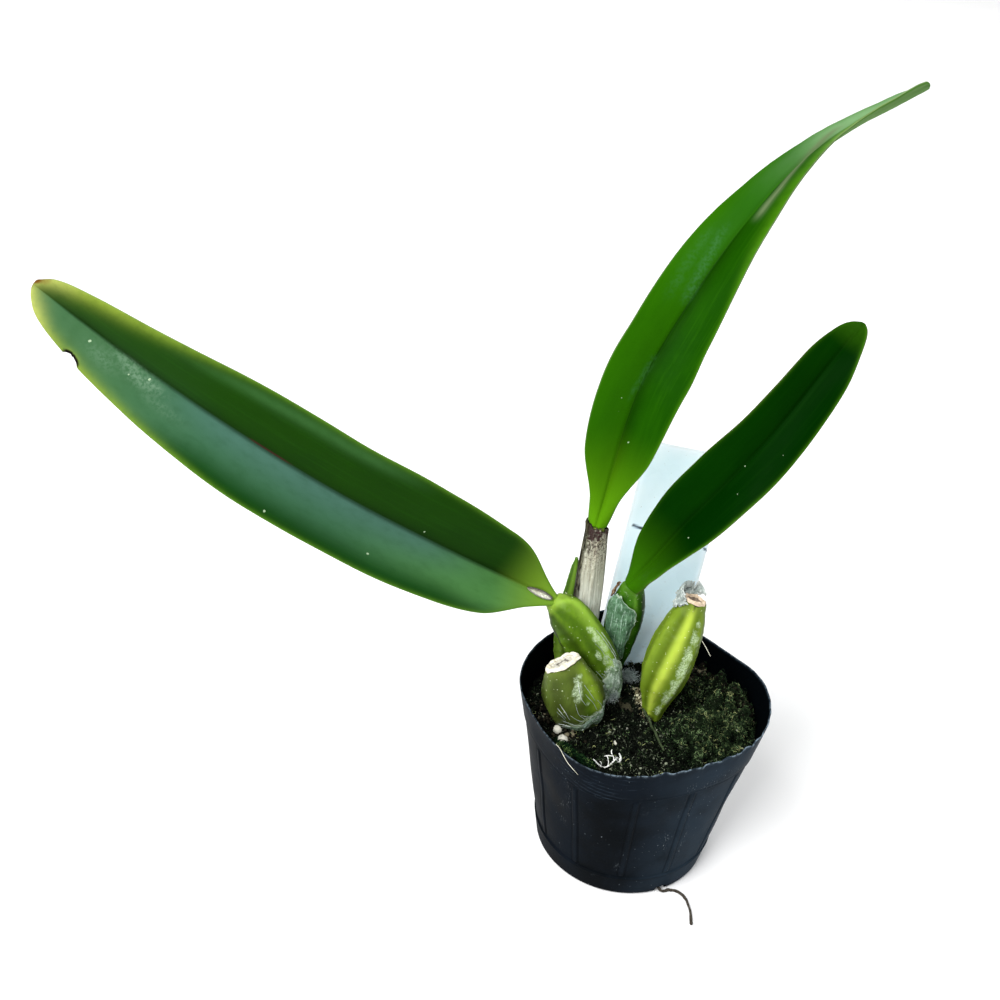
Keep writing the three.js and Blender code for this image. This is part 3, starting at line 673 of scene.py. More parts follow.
def stripe(t, turn, stops, width):
    # soft line through stops of (t, degrees)
    places, angles = zip(*stops)
    gap = np.degrees(turnFrom(turn, np.interp(t, places, angles)))
    ends = between(t, places[0] - 0.06, places[0] + 0.02, places[-1] - 0.02, places[-1] + 0.05)
    return bell(gap, width) * ends


# powder and the brown, shaded edges are patches; the bright lines (painted highlights on ridges) and the dark
# lines (painted shade in valleys) are stops of (t, degrees)
bulbPaint = {
    "bulb_left": {
        "powder": [(0.64, 39, 0.05, 9, 0.8), (0.58, 42, 0.05, 12, 1), (0.51, 47, 0.06, 12, 1),
                   (0.48, 24, 0.04, 9, 0.8), (0.43, 36, 0.05, 14, 0.9), (0.35, 44, 0.06, 22, 1),
                   (0.27, 24, 0.07, 26, 1), (0.3, 70, 0.08, 14, 0.8)],
        "bright": [(0.31, 51), (0.41, 50), (0.52, 54), (0.65, 58), (0.75, 60), (0.86, 62), (0.93, 48),
                   (0.98, 22)],
        "brownEdge": [(0.62, -68, 0.1, 14, 1), (0.72, -64, 0.1, 12, 1), (0.82, -62, 0.08, 11, 0.8),
                      (0.92, -62, 0.06, 10, 0.6)],
        "dark": [(0.3, -6), (0.5, -12), (0.62, -16), (0.76, -28), (0.92, -42)],
        "brightWidth": 20, "darkWidth": 15, "brightShare": 0.85,
    },
    "bulb_middle": {
        "powder": [(0.95, 10, 0.05, 60, 0.5), (0.9, -50, 0.08, 20, 0.4)],
        "bright": [(0.5, 24), (0.8, 24), (1.0, 12)], "dark": [(0.3, 60), (1.0, 60)],
        "brightWidth": 9, "darkWidth": 20,
    },
    "bulb_back": {
        "powder": [(0.3, 0, 0.2, 90, 0.4)],
        "bright": [(0.9, 40), (1.0, 40)], "dark": [(0.3, -60), (1.0, -60)],
        "brightWidth": 20, "darkWidth": 20,
    },
    "bulb_rear": {
        "powder": [(0.2, 0, 0.1, 90, 0.3)],
        "bright": [(0.0, -20), (0.6, -10), (1.0, 0)], "dark": [(0.0, 70), (1.0, 70)],
        "brightWidth": 25, "darkWidth": 25,
    },
    "bulb_right_cut": {
        "powder": [(0.86, 34, 0.05, 12, 0.8), (0.74, 31, 0.08, 15, 1), (0.62, 29, 0.08, 16, 1),
                   (0.5, 29, 0.08, 17, 1), (0.4, 27, 0.07, 17, 1), (0.31, 22, 0.06, 17, 1),
                   (0.22, 12, 0.06, 16, 0.9), (0.55, 58, 0.25, 12, 0.45)],
        "bright": [(0.12, -27), (0.17, -27), (0.32, -20), (0.45, -12), (0.57, -7), (0.71, -5), (0.84, -3),
                   (0.97, -1)],
        "dark": [(0.25, -50), (0.3, -46), (0.42, -36), (0.56, -29), (0.74, -27), (0.9, -26)],
        "brownEdge": [(0.985, 2, 0.035, 5, 0.75)], "brightWidth": 13, "darkWidth": 8,
    },
    "bulb_front_cut": {
        "powder": [(0.88, 40, 0.05, 10, 0.7), (0.83, 28, 0.06, 14, 1), (0.77, 20, 0.06, 14, 1),
                   (0.71, 14, 0.05, 10, 0.8), (0.62, 31, 0.05, 6, 0.5), (0.45, 30, 0.05, 30, 0.95),
                   (0.4, -10, 0.06, 24, 0.9), (0.36, 50, 0.08, 26, 1), (0.55, -28, 0.05, 7, 0.4)],
        "bright": [(0.5, 56), (0.65, 58), (0.8, 61), (0.97, 61)],
        "dark": [(0.4, 26), (0.55, 32), (0.75, 40)], "brightWidth": 20, "darkWidth": 12,
    },
}
bulbGrid = (126, 130)
footRows, skinRows = 0.04, 0.9  # shares of the grid's rows; the rest close the top


def bulbPlace(name):
    form, paint = bulbForms[name], bulbPaint[name]

    def place(a, b):
        turn = tau * a + math.pi
        t = np.clip((b - footRows) / skinRows, 0, 1)
        share = np.clip(b / footRows, 0, 1) * np.clip((1 - b) / (1 - footRows - skinRows), 0, 1)
        dome = form["dome"] * form["radii"][-1] * rounded(share)
        points = bulbPoint(form, t, turn, 0.0, share, np.where(b > footRows + skinRows, dome, 0.0))
        _, _, front, side = frameAt(form["points"], t, bulbFront)
        out = front * np.cos(turn)[:, None] + side * np.sin(turn)[:, None]
        uneven = 0.07 * ripple(points, 5, 21) + 0.03 * ripple(points, 1.8, 22)
        rings = sum(0.12 * bell(t - level, 0.012) for level in (0.1, 0.2, 0.34))
        points = points + out * ((uneven + rings) * share)[:, None]
        marks = {
            "rise": t, "ridge": np.cos(form["ridges"] * (turn - bulbTwist(form, t))), "ring": rings,
            "powder": patches(t, turn, paint["powder"]),
            "brownEdge": patches(t, turn, paint.get("brownEdge", [])),
            "bright": stripe(t, turn, paint["bright"], paint["brightWidth"]),
            "dark": stripe(t, turn, paint["dark"], paint["darkWidth"]),
        }
        return points, marks

    return place


def bulbFinish(name, tones):
    f = Finish(name + "Flesh", 0.36, 0.07)
    long = f.grain(1.3, 4, (1, 1, 0.18))
    clouds = f.grain(7, 4, (1, 1, 0.5))
    specks = f.grain(0.5, 2)
    f.coat = f.blend(f.steps("ridge", -1.0, 1.0), tones["valley"], tones["ridge"])
    f.paint(f.steps(clouds, 0.38, 0.68, 0.0, 0.6), tones["cloud"])
    f.paint(f.steps(long, 0.45, 0.7, 0.0, 0.4), tones["valley"])
    # painted shade along the valleys and painted highlight along a ridge
    f.paint(f.times("dark", 0.8), tones["dark"])
    f.paint(f.times("bright", bulbPaint[name].get("brightShare", 0.9)), tones["bright"])
    f.paint(f.steps("rise", tones["footTop"], 0.05, 0.0, 0.8), tones["foot"])
    f.paint(f.steps("rise", 0.88, 1.0, 0.0, 0.75), tones["top"])
    f.paint(f.times("ring", 2.0), tones["dark"])
    flecks = f.steps(f.grain(0.9, 1), 0.72, 0.75)
    f.paint(f.times(flecks, 0.6), (214, 226, 180))
    dots = f.steps(f.grain(0.6, 1, (1.3, 1, 1)), 0.72, 0.76)
    f.paint(f.times(dots, 0.35), tones["dark"])
    # chalky bloom, patchy and broken up
    chalk = f.plus("powder", f.times(f.sum("SUBTRACT", f.grain(2.2, 5), 0.5), 1.5))
    chalk = f.steps(chalk, 0.33, 0.8)
    # dark edge patches: painted shade on the left bulb's flank, brown at the right cut bulb's top
    f.paint("brownEdge", (28, 36, 16))
    chalk = f.times(chalk, f.steps(specks, 0.36, 0.6, 0.25, 1.0))
    chalk = f.times(chalk, f.steps(f.grain(0.35, 2), 0.3, 0.55, 0.35, 1.0))
    f.paint(f.times(chalk, 0.82), (190, 210, 172))
    f.gloss(f.steps(f.plus(long, f.times(chalk, 0.6)), 0.3, 1.1, 0.3, 0.75))
    f.bump(f.plus(long, f.times(chalk, 0.6)), 0.12, 0.5)
    f.glow(0.12, (0.5, 0.9, 0.2), 0.002)
    return f.done()


bulbTones = {
    "bulb_left": {
        "valley": (58, 86, 12), "ridge": (84, 116, 22), "cloud": (68, 100, 14), "dark": (36, 54, 8),
        "bright": (138, 174, 60), "foot": (96, 116, 68), "top": (126, 156, 52), "footTop": 0.3,
    },
    "bulb_middle": {
        "valley": (30, 68, 4), "ridge": (48, 94, 10), "cloud": (38, 80, 6), "dark": (16, 44, 2),
        "bright": (84, 130, 38), "foot": (52, 76, 28), "top": (68, 112, 24), "footTop": 0.3,
    },
    "bulb_back": {
        "valley": (84, 84, 40), "ridge": (120, 116, 64), "cloud": (100, 92, 50), "dark": (54, 38, 26),
        "bright": (138, 150, 70), "foot": (92, 86, 58), "top": (104, 130, 40), "footTop": 0.2,
    },
    "bulb_rear": {
        "valley": (46, 78, 12), "ridge": (78, 116, 28), "cloud": (60, 96, 18), "dark": (30, 54, 6),
        "bright": (106, 142, 48), "foot": (96, 120, 40), "top": (70, 108, 26), "footTop": 0.45,
    },
    "bulb_right_cut": {
        "valley": (86, 108, 24), "ridge": (108, 132, 36), "cloud": (96, 120, 30), "dark": (68, 88, 10),
        "bright": (168, 188, 68), "foot": (112, 138, 34), "top": (100, 118, 44), "footTop": 0.2,
    },
    "bulb_front_cut": {
        "valley": (56, 68, 24), "ridge": (72, 88, 32), "cloud": (64, 78, 28), "dark": (56, 86, 10),
        "bright": (124, 152, 42), "foot": (72, 92, 66), "top": (88, 104, 40), "footTop": 0.35,
    },
}
for bulbName in bulbForms:
    bulbMesh = laidGrid(bulbName + "Skin", *bulbGrid, bulbPlace(bulbName))
    addPiece(bulbName + "_skin", bulbMesh, bulbFinish(bulbName, bulbTones[bulbName]), [bulbName])
print("bulbs made")


# dried cut tops

topForm = {"around": 120, "rows": 64, "upperRows": 0.7, "rounded": 0.86, "sunk": 0.25}


def cutTop(name, bulb, profile, edge, line, under):
    # Dry plate on a cut bulb: profile gives its height by share of the radius and turn, and edge its reach.
    def place(a, b):
        turn = tau * a + math.pi
        upper = b < topForm["upperRows"]
        share = np.where(upper, b / topForm["upperRows"], (1 - b) / (1 - topForm["upperRows"]))
        reach = share * edge(turn)
        ring = ringAt(6 * reach, turn, 0)
        high = profile(reach, turn) + 0.1 * ripple(ring, 1.6, 31) + 0.05 * ripple(ring, 0.7, 32)
        rounding = rounded((share - topForm["rounded"]) / (1 - topForm["rounded"]))
        sunk = topForm["sunk"]
        lift = np.where(upper, (high + sunk) * rounding, -under * (1 - share ** 4)) - sunk
        points = bulbPoint(bulbForms[bulb], np.ones_like(a), turn, 0.0, reach, lift)
        return points, {"reach": reach, "upper": upper.astype(float), "high": np.clip(high, -1, 2),
                        "line": line(reach, turn)}

    return laidGrid(name, topForm["around"], topForm["rows"], place)


def dryTopFinish(name, pale, grey, marked):
    f = Finish(name, 0.85, 0.08)
    fine = f.grain(0.6, 5)
    f.coat = f.blend(f.steps(f.grain(1.6, 4), 0.35, 0.65), pale, grey)
    f.paint(f.steps(fine, 0.54, 0.75, 0.0, 0.5), (120, 104, 82))
    f.paint(f.times(f.steps("reach", 0.66, 0.5), 0.6), marked)
    f.paint(f.times("line", 0.85), (52, 44, 42))
    # painted shade where the plate is sunk, and near black painted shade on its underside
    f.paint(f.steps("high", -0.1, -0.9, 0.0, 0.9), (34, 28, 24))
    f.paint(f.steps("upper", 0.5, 0.4), (12, 10, 9))
    f.bump(fine, 0.25, 0.8)
    return f.done()


def diamondOf(reach, turn):
    return (np.abs(np.cos(turn + 0.35)) + np.abs(np.sin(turn + 0.35))) * reach


def frontProfile(reach, turn):
    # thick curled rim, higher at the back, a shallow field and a sunk diamond in its middle
    rim = 0.95 * bell(reach - 0.86, 0.2) * (1 + 0.25 * np.sin(3 * turn + 0.6) + 0.2 * np.sin(7 * turn))
    diamond = diamondOf(reach, turn)
    return 0.3 + rim - 0.4 * (1 - smooth(diamond, 0.34, 0.42)) + 0.3 * (1 - smooth(diamond, 0.2, 0.28))


def frontEdge(turn):
    return 1.05 + 0.05 * np.sin(2 * turn + 0.4) + 0.045 * np.sin(5 * turn + 1.0) + 0.03 * np.sin(11 * turn)


def frontLine(reach, turn):
    diamond = diamondOf(reach, turn)
    return bell(diamond - 0.38, 0.06) + 0.5 * bell(reach - 0.66, 0.03)


def rightLine(reach, turn):
    return 0.8 * bell(reach - 0.52, 0.07)


def rightProfile(reach, turn):
    rim = 0.8 * bell(reach - 0.82, 0.2) * (1 + 0.3 * np.sin(2 * turn + 2.0) + 0.2 * np.sin(5 * turn))
    return 0.1 + rim - 1.8 * (1 - smooth(reach, 0.3, 0.5))


def rightEdge(turn):
    return 1.02 + 0.05 * np.sin(3 * turn + 1.0) + 0.04 * np.sin(8 * turn)


frontTop = cutTop("frontTop", "bulb_front_cut", frontProfile, frontEdge, frontLine, 0.9)
frontDry = dryTopFinish("dryCutFront", (232, 228, 214), (204, 196, 174), (168, 166, 158))
addPiece("front_cut_top", frontTop, frontDry)
rightTop = cutTop("rightTop", "bulb_right_cut", rightProfile, rightEdge, rightLine, 2.0)
rightDry = dryTopFinish("dryCutRight", (222, 200, 176), (186, 166, 142), (54, 40, 34))
addPiece("right_cut_top", rightTop, rightDry)


# leaves

leafStations = [0, 0.05, 0.12, 0.25, 0.4, 0.55, 0.7, 0.83, 0.92, 0.97, 1]
leafForms = {
    "leaf_left": {
        "knots": [(-36, 14, 99.7), (-78.1, 3.9, 126.1), (-114.4, -2.8, 149.5), (-149.4, -3.2, 171.5),
                  (-181.7, 2.7, 190.1), (-215.1, 12, 209)],
        "facing": [(0.48, -0.75, 0.45), (0.46, -0.8, 0.38), (0.29, -0.87, 0.41), (0.18, -0.9, 0.39),
                   (-0.08, -0.95, 0.3), (-0.12, -0.95, 0.29)],
        "halfWidths": [2.2, 8, 17.1, 20.1, 19.9, 19.7, 17.2, 14.1, 10.6, 7.2, 2], "folds": [34, 19, 17, 19],
        "fullFoot": 2.4, "bite": (0.880, 3.5, 1.5), "corner": 0.35, "scar": (0.478, 0.572, 0.75, 0.46),
    },
    "leaf_tall": {
        "knots": [(-23.8, 23.5, 128.1), (-16.3, 29, 180.8), (-7.2, 37, 202.4), (15.2, 54, 237.6),
                  (39.9, 84, 253.4), (81.2, 125, 263.8)],
        "facing": [(-0.22, -0.97, 0.04), (-0.05, -0.99, 0.13), (-0.04, -0.94, 0.33), (-0.53, -0.55, 0.65),
                   (-0.42, -0.01, 0.91), (-0.55, 0.43, 0.72)],
        "halfWidths": [3.4, 6.6, 13.6, 16, 14.6, 12, 9.1, 6, 5.3, 5.0, 3.4], "folds": [33, 24, 20, 40],
        "stalk": 5.2, "flatFoot": 0.05,
    },
    "leaf_right": {
        "knots": [(-7.9, 20, 105.2), (6.1, 17.6, 134.7), (18.5, 18.7, 154.1), (30.5, 22.7, 173.1),
                  (43.3, 31.2, 191.5), (57.4, 42, 208.8)],
        "facing": [(-0.84, -0.47, 0.29), (-0.66, -0.7, 0.27), (-0.4, -0.75, 0.53), (-0.1, -0.94, 0.33),
                   (0.06, -0.86, 0.51), (-0.51, -0.47, 0.71)],
        "halfWidths": [4.2, 6.6, 10.5, 13.3, 13.4, 12.5, 11.5, 9.9, 7.2, 5, 1.9], "folds": [40, 22, 20, 20],
        "stalk": 6.6, "flatFoot": 0.08, "fullFoot": 2.0,
    },
}
bladeForm = {
    "midrib": 1.9, "margin": 0.8, "stalk": 3.2, "stalkReach": 0.1, "tip": 0.8, "tipReach": 0.25,
    "lines": [(0.4, 0.75), (0.6, 1.9), (0.35, 1.6)],  # groove, keel and rounded fold: height and half width
    "swell": 0.7, "full": 12.0, "grid": (132, 280),
}


def leafWidth(form, t):
    return through(leafStations, form["halfWidths"])(t)


def leafFacing(form, t):
    return np.stack([through(fifths, [way[k] for way in form["facing"]])(t) for k in range(3)], axis=1)


def leafPoint(form, t, u, face, out=0.0, narrow=1.0):
    # t along the midrib, u across from -1 to 1, face 1 above and -1 below
    at, _, front, side = frameAt(form["knots"], t, leafFacing(form, t))
    width = leafWidth(form, t) * narrow
    lean = np.radians(through([0, 1 / 3, 2 / 3, 1], form["folds"])(t))
    lean = lean * smooth(t, -0.02, form.get("flatFoot", -0.01))
    stalk = np.maximum(0, 1 - t / bladeForm["stalkReach"])
    tip = np.maximum(0, 1 - (1 - t) / bladeForm["tipReach"])
    middle = bladeForm["midrib"] + (form.get("stalk", bladeForm["stalk"]) - bladeForm["midrib"]) * stalk
    middle = middle + (bladeForm["tip"] - middle) * tip
    thick = bladeForm["margin"] + (middle - bladeForm["margin"]) * (1 - u * u)
    edge = (1 - np.abs(u)) * width
    half = thick / 2 * rounded(1 - edge / (bladeForm["margin"] * 0.6))
    away = np.abs(u) * width
    groove, keel, fold = (high * bell(away, wide) for high, wide in bladeForm["lines"])
    ridge = np.where(face > 0, groove, keel) * (1 - tip)
    swell = bladeForm["swell"] * 4 * np.abs(u) * (1 - np.abs(u)) * np.minimum(1, width / bladeForm["full"])
    # the fold term rounds the fold's sharp line
    lift = away * np.sin(lean) + face * half - ridge + fold + swell + out
    return at + side * (width * u * np.cos(lean))[:, None] + front * lift[:, None]


def bittenShare(form, t, long):
    # how far along the bite a place is, -1 to 1 within it, and the bite's depth
    where, chord, depth = form.get("bite", (9.0, 1.0, 0.0))
    return (t - where) * long / chord, depth


def leafPlace(name):
    form = leafForms[name]
    long = curveLength(form["knots"])

    def place(a, b):
        u = -np.cos(tau * a)
        face = np.where(np.abs(np.sin(tau * a)) < 1e-6, 0.0, np.sign(np.sin(tau * a)))
        t = eased(b, 0.55)
        width = leafWidth(form, t)
        # rounded tip, and a foot drawn in where it sits inside the bulb
        tipShare = leafWidth(form, 1.0) / long * np.where(u > 0, form.get("corner", 1.0), 1.0)
        narrow = rounded((t - 1 + tipShare) / tipShare)
        narrow = narrow * np.sqrt(np.clip(b / 0.006, 0, 1))
        # slightly wandering margins, a fuller foot on one side and a bite
        margin = np.stack([t * long, np.sign(u) * 50, 0 * t], axis=1)
        narrow = narrow * (1 + 0.002 * ripple(margin, 26, 41))
        narrow = narrow * (1 + (u > 0) * form.get("fullFoot", 0.0) * bell(t - 0.07, 0.04) / width)
        biteGap, depth = bittenShare(form, t, long)
        bitten = depth * np.clip(1 - biteGap ** 2, 0, 1) ** 0.8 * (1 + 0.05 * ripple(margin, 1.5, 44))
        narrow = np.where(u < 0, narrow * (1 - smooth(-u, 0.45, 1.0) * bitten / width), narrow)
        points = leafPoint(form, t, u, face, 0.0, narrow)
        uneven = 0.08 * ripple(points, 26, 45) + 0.02 * ripple(points, 6, 46)
        uneven = uneven * (0.2 + 0.8 * smooth(t, 0, 0.1))
        points = points + unit(leafFacing(form, t)) * uneven[:, None]
        edge = (1 - np.abs(u)) * width
        marks = {
            "across": u, "along": t, "edge": edge,
            "upper": 0.5 + 0.5 * np.clip(np.sin(tau * a) * 12, -1, 1),
            "flow": np.stack([u * width, t * long, face * 0.5], axis=1),
            "rimDark": smooth(-u, 0.84, 0.91) * (1 - smooth(np.abs(biteGap), 0.92, 1.1)),
        }
        for key in ("sheen", "dust", "streak", "tipBrown"):
            marks[key] = 0 * t
        marks.update(leafMarks[name](t, u, u * width, edge))
        return points, marks

    return place


def blot(x, y, spots):
    return strongest(spots, lambda cx, cy: (x - cx, y - cy))


def route(x, y, stops, width):
    # soft line through stops of (x, y)
    xs, ys = zip(*stops)
    ends = between(x, xs[0] - 0.02, xs[0] + 0.01, xs[-1] - 0.01, xs[-1] + 0.03)
    return bell(y - np.interp(x, xs, ys), width) * ends


def leftMarks(t, u, wide, edge):
    reach = 0.4 + 0.5 * smooth(t, 0.6, 0.86) + 0.35 * (1 - smooth(t, 0.05, 0.2))
    # a bluish band near the upper margin: painted reflection
    paintedReflection = 0.8 * bell(u - 0.92 + 0.2 * t, 0.11) * between(t, 0.24, 0.4, 0.55, 0.8)
    hemLow = 1.0 + 1.7 * smooth(t, 0.5, 0.9) + 1.6 * smooth(t, 0.92, 0.98)
    hem = np.where(u > 0, 1.1 + 2.6 * smooth(t, 0.55, 0.95), hemLow)
    strengthLow = 0.6 + 0.25 * smooth(t, 0.5, 0.8) + 0.15 * smooth(t, 0.92, 0.97)
    strength = np.where(u > 0, 0.62 + 0.3 * smooth(t, 0.6, 0.9), strengthLow)
    # the lower half's bluish tone is partly bloom and partly a painted sky reflection, and the sheen by the
    # midrib is a painted sheen
    return {
        "bloom": np.where(u < 0.04, 1 - smooth(-u, reach, reach + 0.55),
                          paintedReflection + 0.06 * smooth(t, 0.6, 0.75)),
        "sheen": 0.8 * bell(u, 0.36) * between(t, 0.1, 0.26, 0.58, 0.8),
        "shade": 0.6 * bell(wide, 2.2) * (u > -0.01) * (1 - smooth(t, 0.9, 1.0)),
        "blush": strength * bell(edge, hem, 1.6),
        "dust": blot(t, u, [(0.77, -0.2, 0.04, 0.14, 1), (0.8, -0.1, 0.03, 0.1, 0.9),
                            (0.745, -0.16, 0.02, 0.07, 1), (0.72, -0.4, 0.04, 0.1, 0.35),
                            (0.84, -0.35, 0.03, 0.2, 0.4)]),
        "tipBrown": 0.75 * smooth(t, 0.95, 0.995) * smooth(u, 0.1, 0.8) + 0.5 * smooth(t, 0.988, 1.0),
    }


def tallMarks(t, u, wide, edge):
    scuff = route(t, u, [(0.455, -0.12), (0.47, -0.14), (0.502, -0.22), (0.53, -0.27), (0.55, -0.34)], 0.12)
    scuff = np.maximum(scuff, blot(t, u, [(0.5, -0.6, 0.03, 0.14, 0.5), (0.465, -0.55, 0.02, 0.14, 0.5),
                                          (0.53, -0.62, 0.02, 0.12, 0.55)]))
    lowDust = 0.7 * route(t, u, [(0.2, -0.12), (0.235, -0.07), (0.3, -0.04)], 0.07)
    bloom = 0.45 * smooth(t, 0.4, 0.62) * (1 - smooth(-u, 0.4, 0.95)) + 0.55 * smooth(t, 0.72, 0.84)
    hem = np.where(u > 0, 0.9 + 2.4 * smooth(t, 0.45, 0.65), 0.6)
    return {
        "bloom": bloom * smooth(-u, -0.05, 0.1),
        "shade": 0.7 * bell(wide, 3.0) * (u > -0.01) * between(t, 0.02, 0.08, 0.5, 0.64),
        "blush": np.where(u > 0, 0.8, 0.35) * bell(edge, hem, 1.6),
        "dust": np.maximum(scuff, lowDust),
        "streak": route(t, u, [(0.605, 0.3), (0.63, 0.31), (0.66, 0.34), (0.7, 0.25), (0.73, 0.15),
                               (0.76, 0.02), (0.795, -0.14), (0.83, -0.34)], 0.15),
        "tipBrown": 0.2 * smooth(t, 0.985, 0.997),
    }


def rightMarks(t, u, wide, edge):
    return {
        "bloom": 0.14 * route(t, u, [(0.4, 0.12), (0.92, 0.05)], 0.07),
        "shade": 0.3 * bell(wide, 1.6) * (u < 0) * smooth(t, 0.05, 0.2),
        "blush": np.where(u > 0, 0.85, 0.35) * bell(edge, 0.8, 1.6) + 0.5 * smooth(t, 0.9, 0.99),
    }


leafMarks = {"leaf_left": leftMarks, "leaf_tall": tallMarks, "leaf_right": rightMarks}

# small chips on the blades: share along, share across, radius
leafChips = {
    "leaf_left": [(0.872, -0.25, 0.45), (0.487, -0.87, 0.38), (0.315, -0.66, 0.3), (0.242, 0.13, 0.18),
                  (0.757, -0.1, 0.34), (0.79, -0.28, 0.14)],
    "leaf_tall": [(0.13, 0.2, 0.22), (0.17, -0.3, 0.14), (0.19, -0.34, 0.1)],
    "leaf_right": [(0.48, 0.02, 0.18), (0.41, 0.45, 0.18), (0.58, 0.6, 0.14), (0.21, 0.45, 0.18)],
}


def leafFinish(name, tones):
    f = Finish(name + "Skin", 0.34, tones["specular"])
    form = leafForms[name]
    flow = f.mark("flow", "Vector")
    u, t, edge = f.mark("across"), f.mark("along"), f.mark("edge")
    streaks = f.grain(0.9, 4, (1, 0.03, 1), flow)
    fibres = f.grain(0.35, 2, (1, 0.02, 1), flow)
    clouds = f.grain(16, 4, (1.2, 0.45, 1), flow)
    mottle = f.grain(2.5, 4, (1, 0.5, 1), flow)
    # each half of the fold has its own tone; the darker half, most of all the tall leaf's right one, is
    # painted shade
    f.coat = f.blend(f.steps(u, -0.015, 0.015), tones["low"], tones["high"])
    f.paint(f.steps(clouds, 0.4, 0.66, 0.0, 0.45), tones["deep"])
    f.paint(f.steps(streaks, 0.48, 0.72, 0.0, 0.22), tones["light"])
    # bloom tones that also carry painted reflections: the sheen by the midrib and the bluish band in the
    # upper half
    bloomAndSheenTone = f.blend(f.steps(t, 0.42, 0.1), tones["bloom"], tones["bloomAndSheenFoot"])
    bloomAndSheenTone = f.blend(f.steps(t, 0.6, 0.9), bloomAndSheenTone, tones["bloomAndSheenTip"])
    bloomAndSheenTone = f.blend("sheen", bloomAndSheenTone, tones["sheen"])
    bloomAndSheenTone = f.blend(f.steps(u, 0.1, 0.4), bloomAndSheenTone, tones["paintedReflection"])
    f.paint(f.times("bloom", f.steps(mottle, 0.2, 0.6, 0.82, 1.0)), bloomAndSheenTone)
    f.paint("shade", tones["shade"])
    f.paint(f.steps(t, tones["baseTop"], 0.0, 0.0, 0.9), tones["base"])
    # margins, yellower towards the tip, with a fine hem
    marginTone = f.blend(f.steps(t, tones["yellowFrom"], 0.95), tones["margin"], tones["yellow"])
    marginTone = f.blend(f.steps(t, 0.9, 0.98), marginTone, tones["tipMargin"])
    f.paint(f.times("blush", f.steps(f.grain(3, 4), 0.25, 0.6, 0.75, 1.0)), marginTone)
    f.paint(f.steps(edge, 0.45, 0.1, 0.0, tones["hemShare"]), tones["hem"])
    # marks of age
    dust = f.times("dust", f.steps(f.grain(1.1, 5), 0.36, 0.62, 0.15, 1.0))
    f.paint(f.times(dust, 0.75), tones["dust"])
    streak = f.times("streak", f.steps(streaks, 0.3, 0.55, 0.6, 1.0))
    f.paint(f.times(streak, 0.9), tones["streak"])
    if "scar" in form:
        low, high, off, half = form["scar"]
        line = f.steps(f.sum("ABSOLUTE", f.sum("SUBTRACT", f.firstOf(flow), off)), half, half * 0.4)
        line = f.times(line, f.times(f.steps(t, low, low + 0.03), f.steps(t, high, high - 0.02)))
        f.paint(f.times(line, 0.85), (50, 28, 22))
    long = curveLength(form["knots"])
    for share, across, radius in leafChips[name]:
        near = f.add("VectorMath", operation="DISTANCE")
        f.feed(near.inputs[0], flow)
        near.inputs[1].default_value = (across * float(leafWidth(form, share)), share * long, 0.5)
        gap = f.plus(near.outputs["Value"], f.times(f.grain(0.9, 3), 1.2))
        f.paint(f.steps(gap, radius + 0.75, radius + 0.5, 0.0, 0.65), (168, 190, 156))
    # underside: paler and duller, with a pale keel
    away = f.sum("ABSOLUTE", f.firstOf(flow))
    under = f.blend(f.steps(clouds, 0.35, 0.7), tones["under"], tones["underDeep"])
    under = f.blend(f.steps(streaks, 0.45, 0.7, 0.0, 0.4), under, tones["underLight"])
    under = f.blend(f.steps(away, 2.4, 0.6, 0.0, 0.5), under, tones["underLight"])
    under = f.blend(f.steps(edge, 1.0, 0.2, 0.0, 0.5), under, tones["margin"])
    f.coat = f.blend("upper", under, f.coat)
    f.paint("rimDark", (12, 9, 6))
    brown = f.steps(f.plus("tipBrown", f.times(f.grain(2, 4), 0.4)), 0.45, 1.15)
    f.paint(brown, (92, 62, 20))
    f.gloss(f.steps(f.plus(mottle, f.plus(dust, f.sum("SUBTRACT", 1.0, "upper"))), 0.2, 1.8,
                    tones["gloss"], 0.7))
    f.bump(f.plus(f.times(fibres, 0.4), f.plus(f.times(streaks, 0.5), mottle)), 0.06, 0.35)
    return f.done()


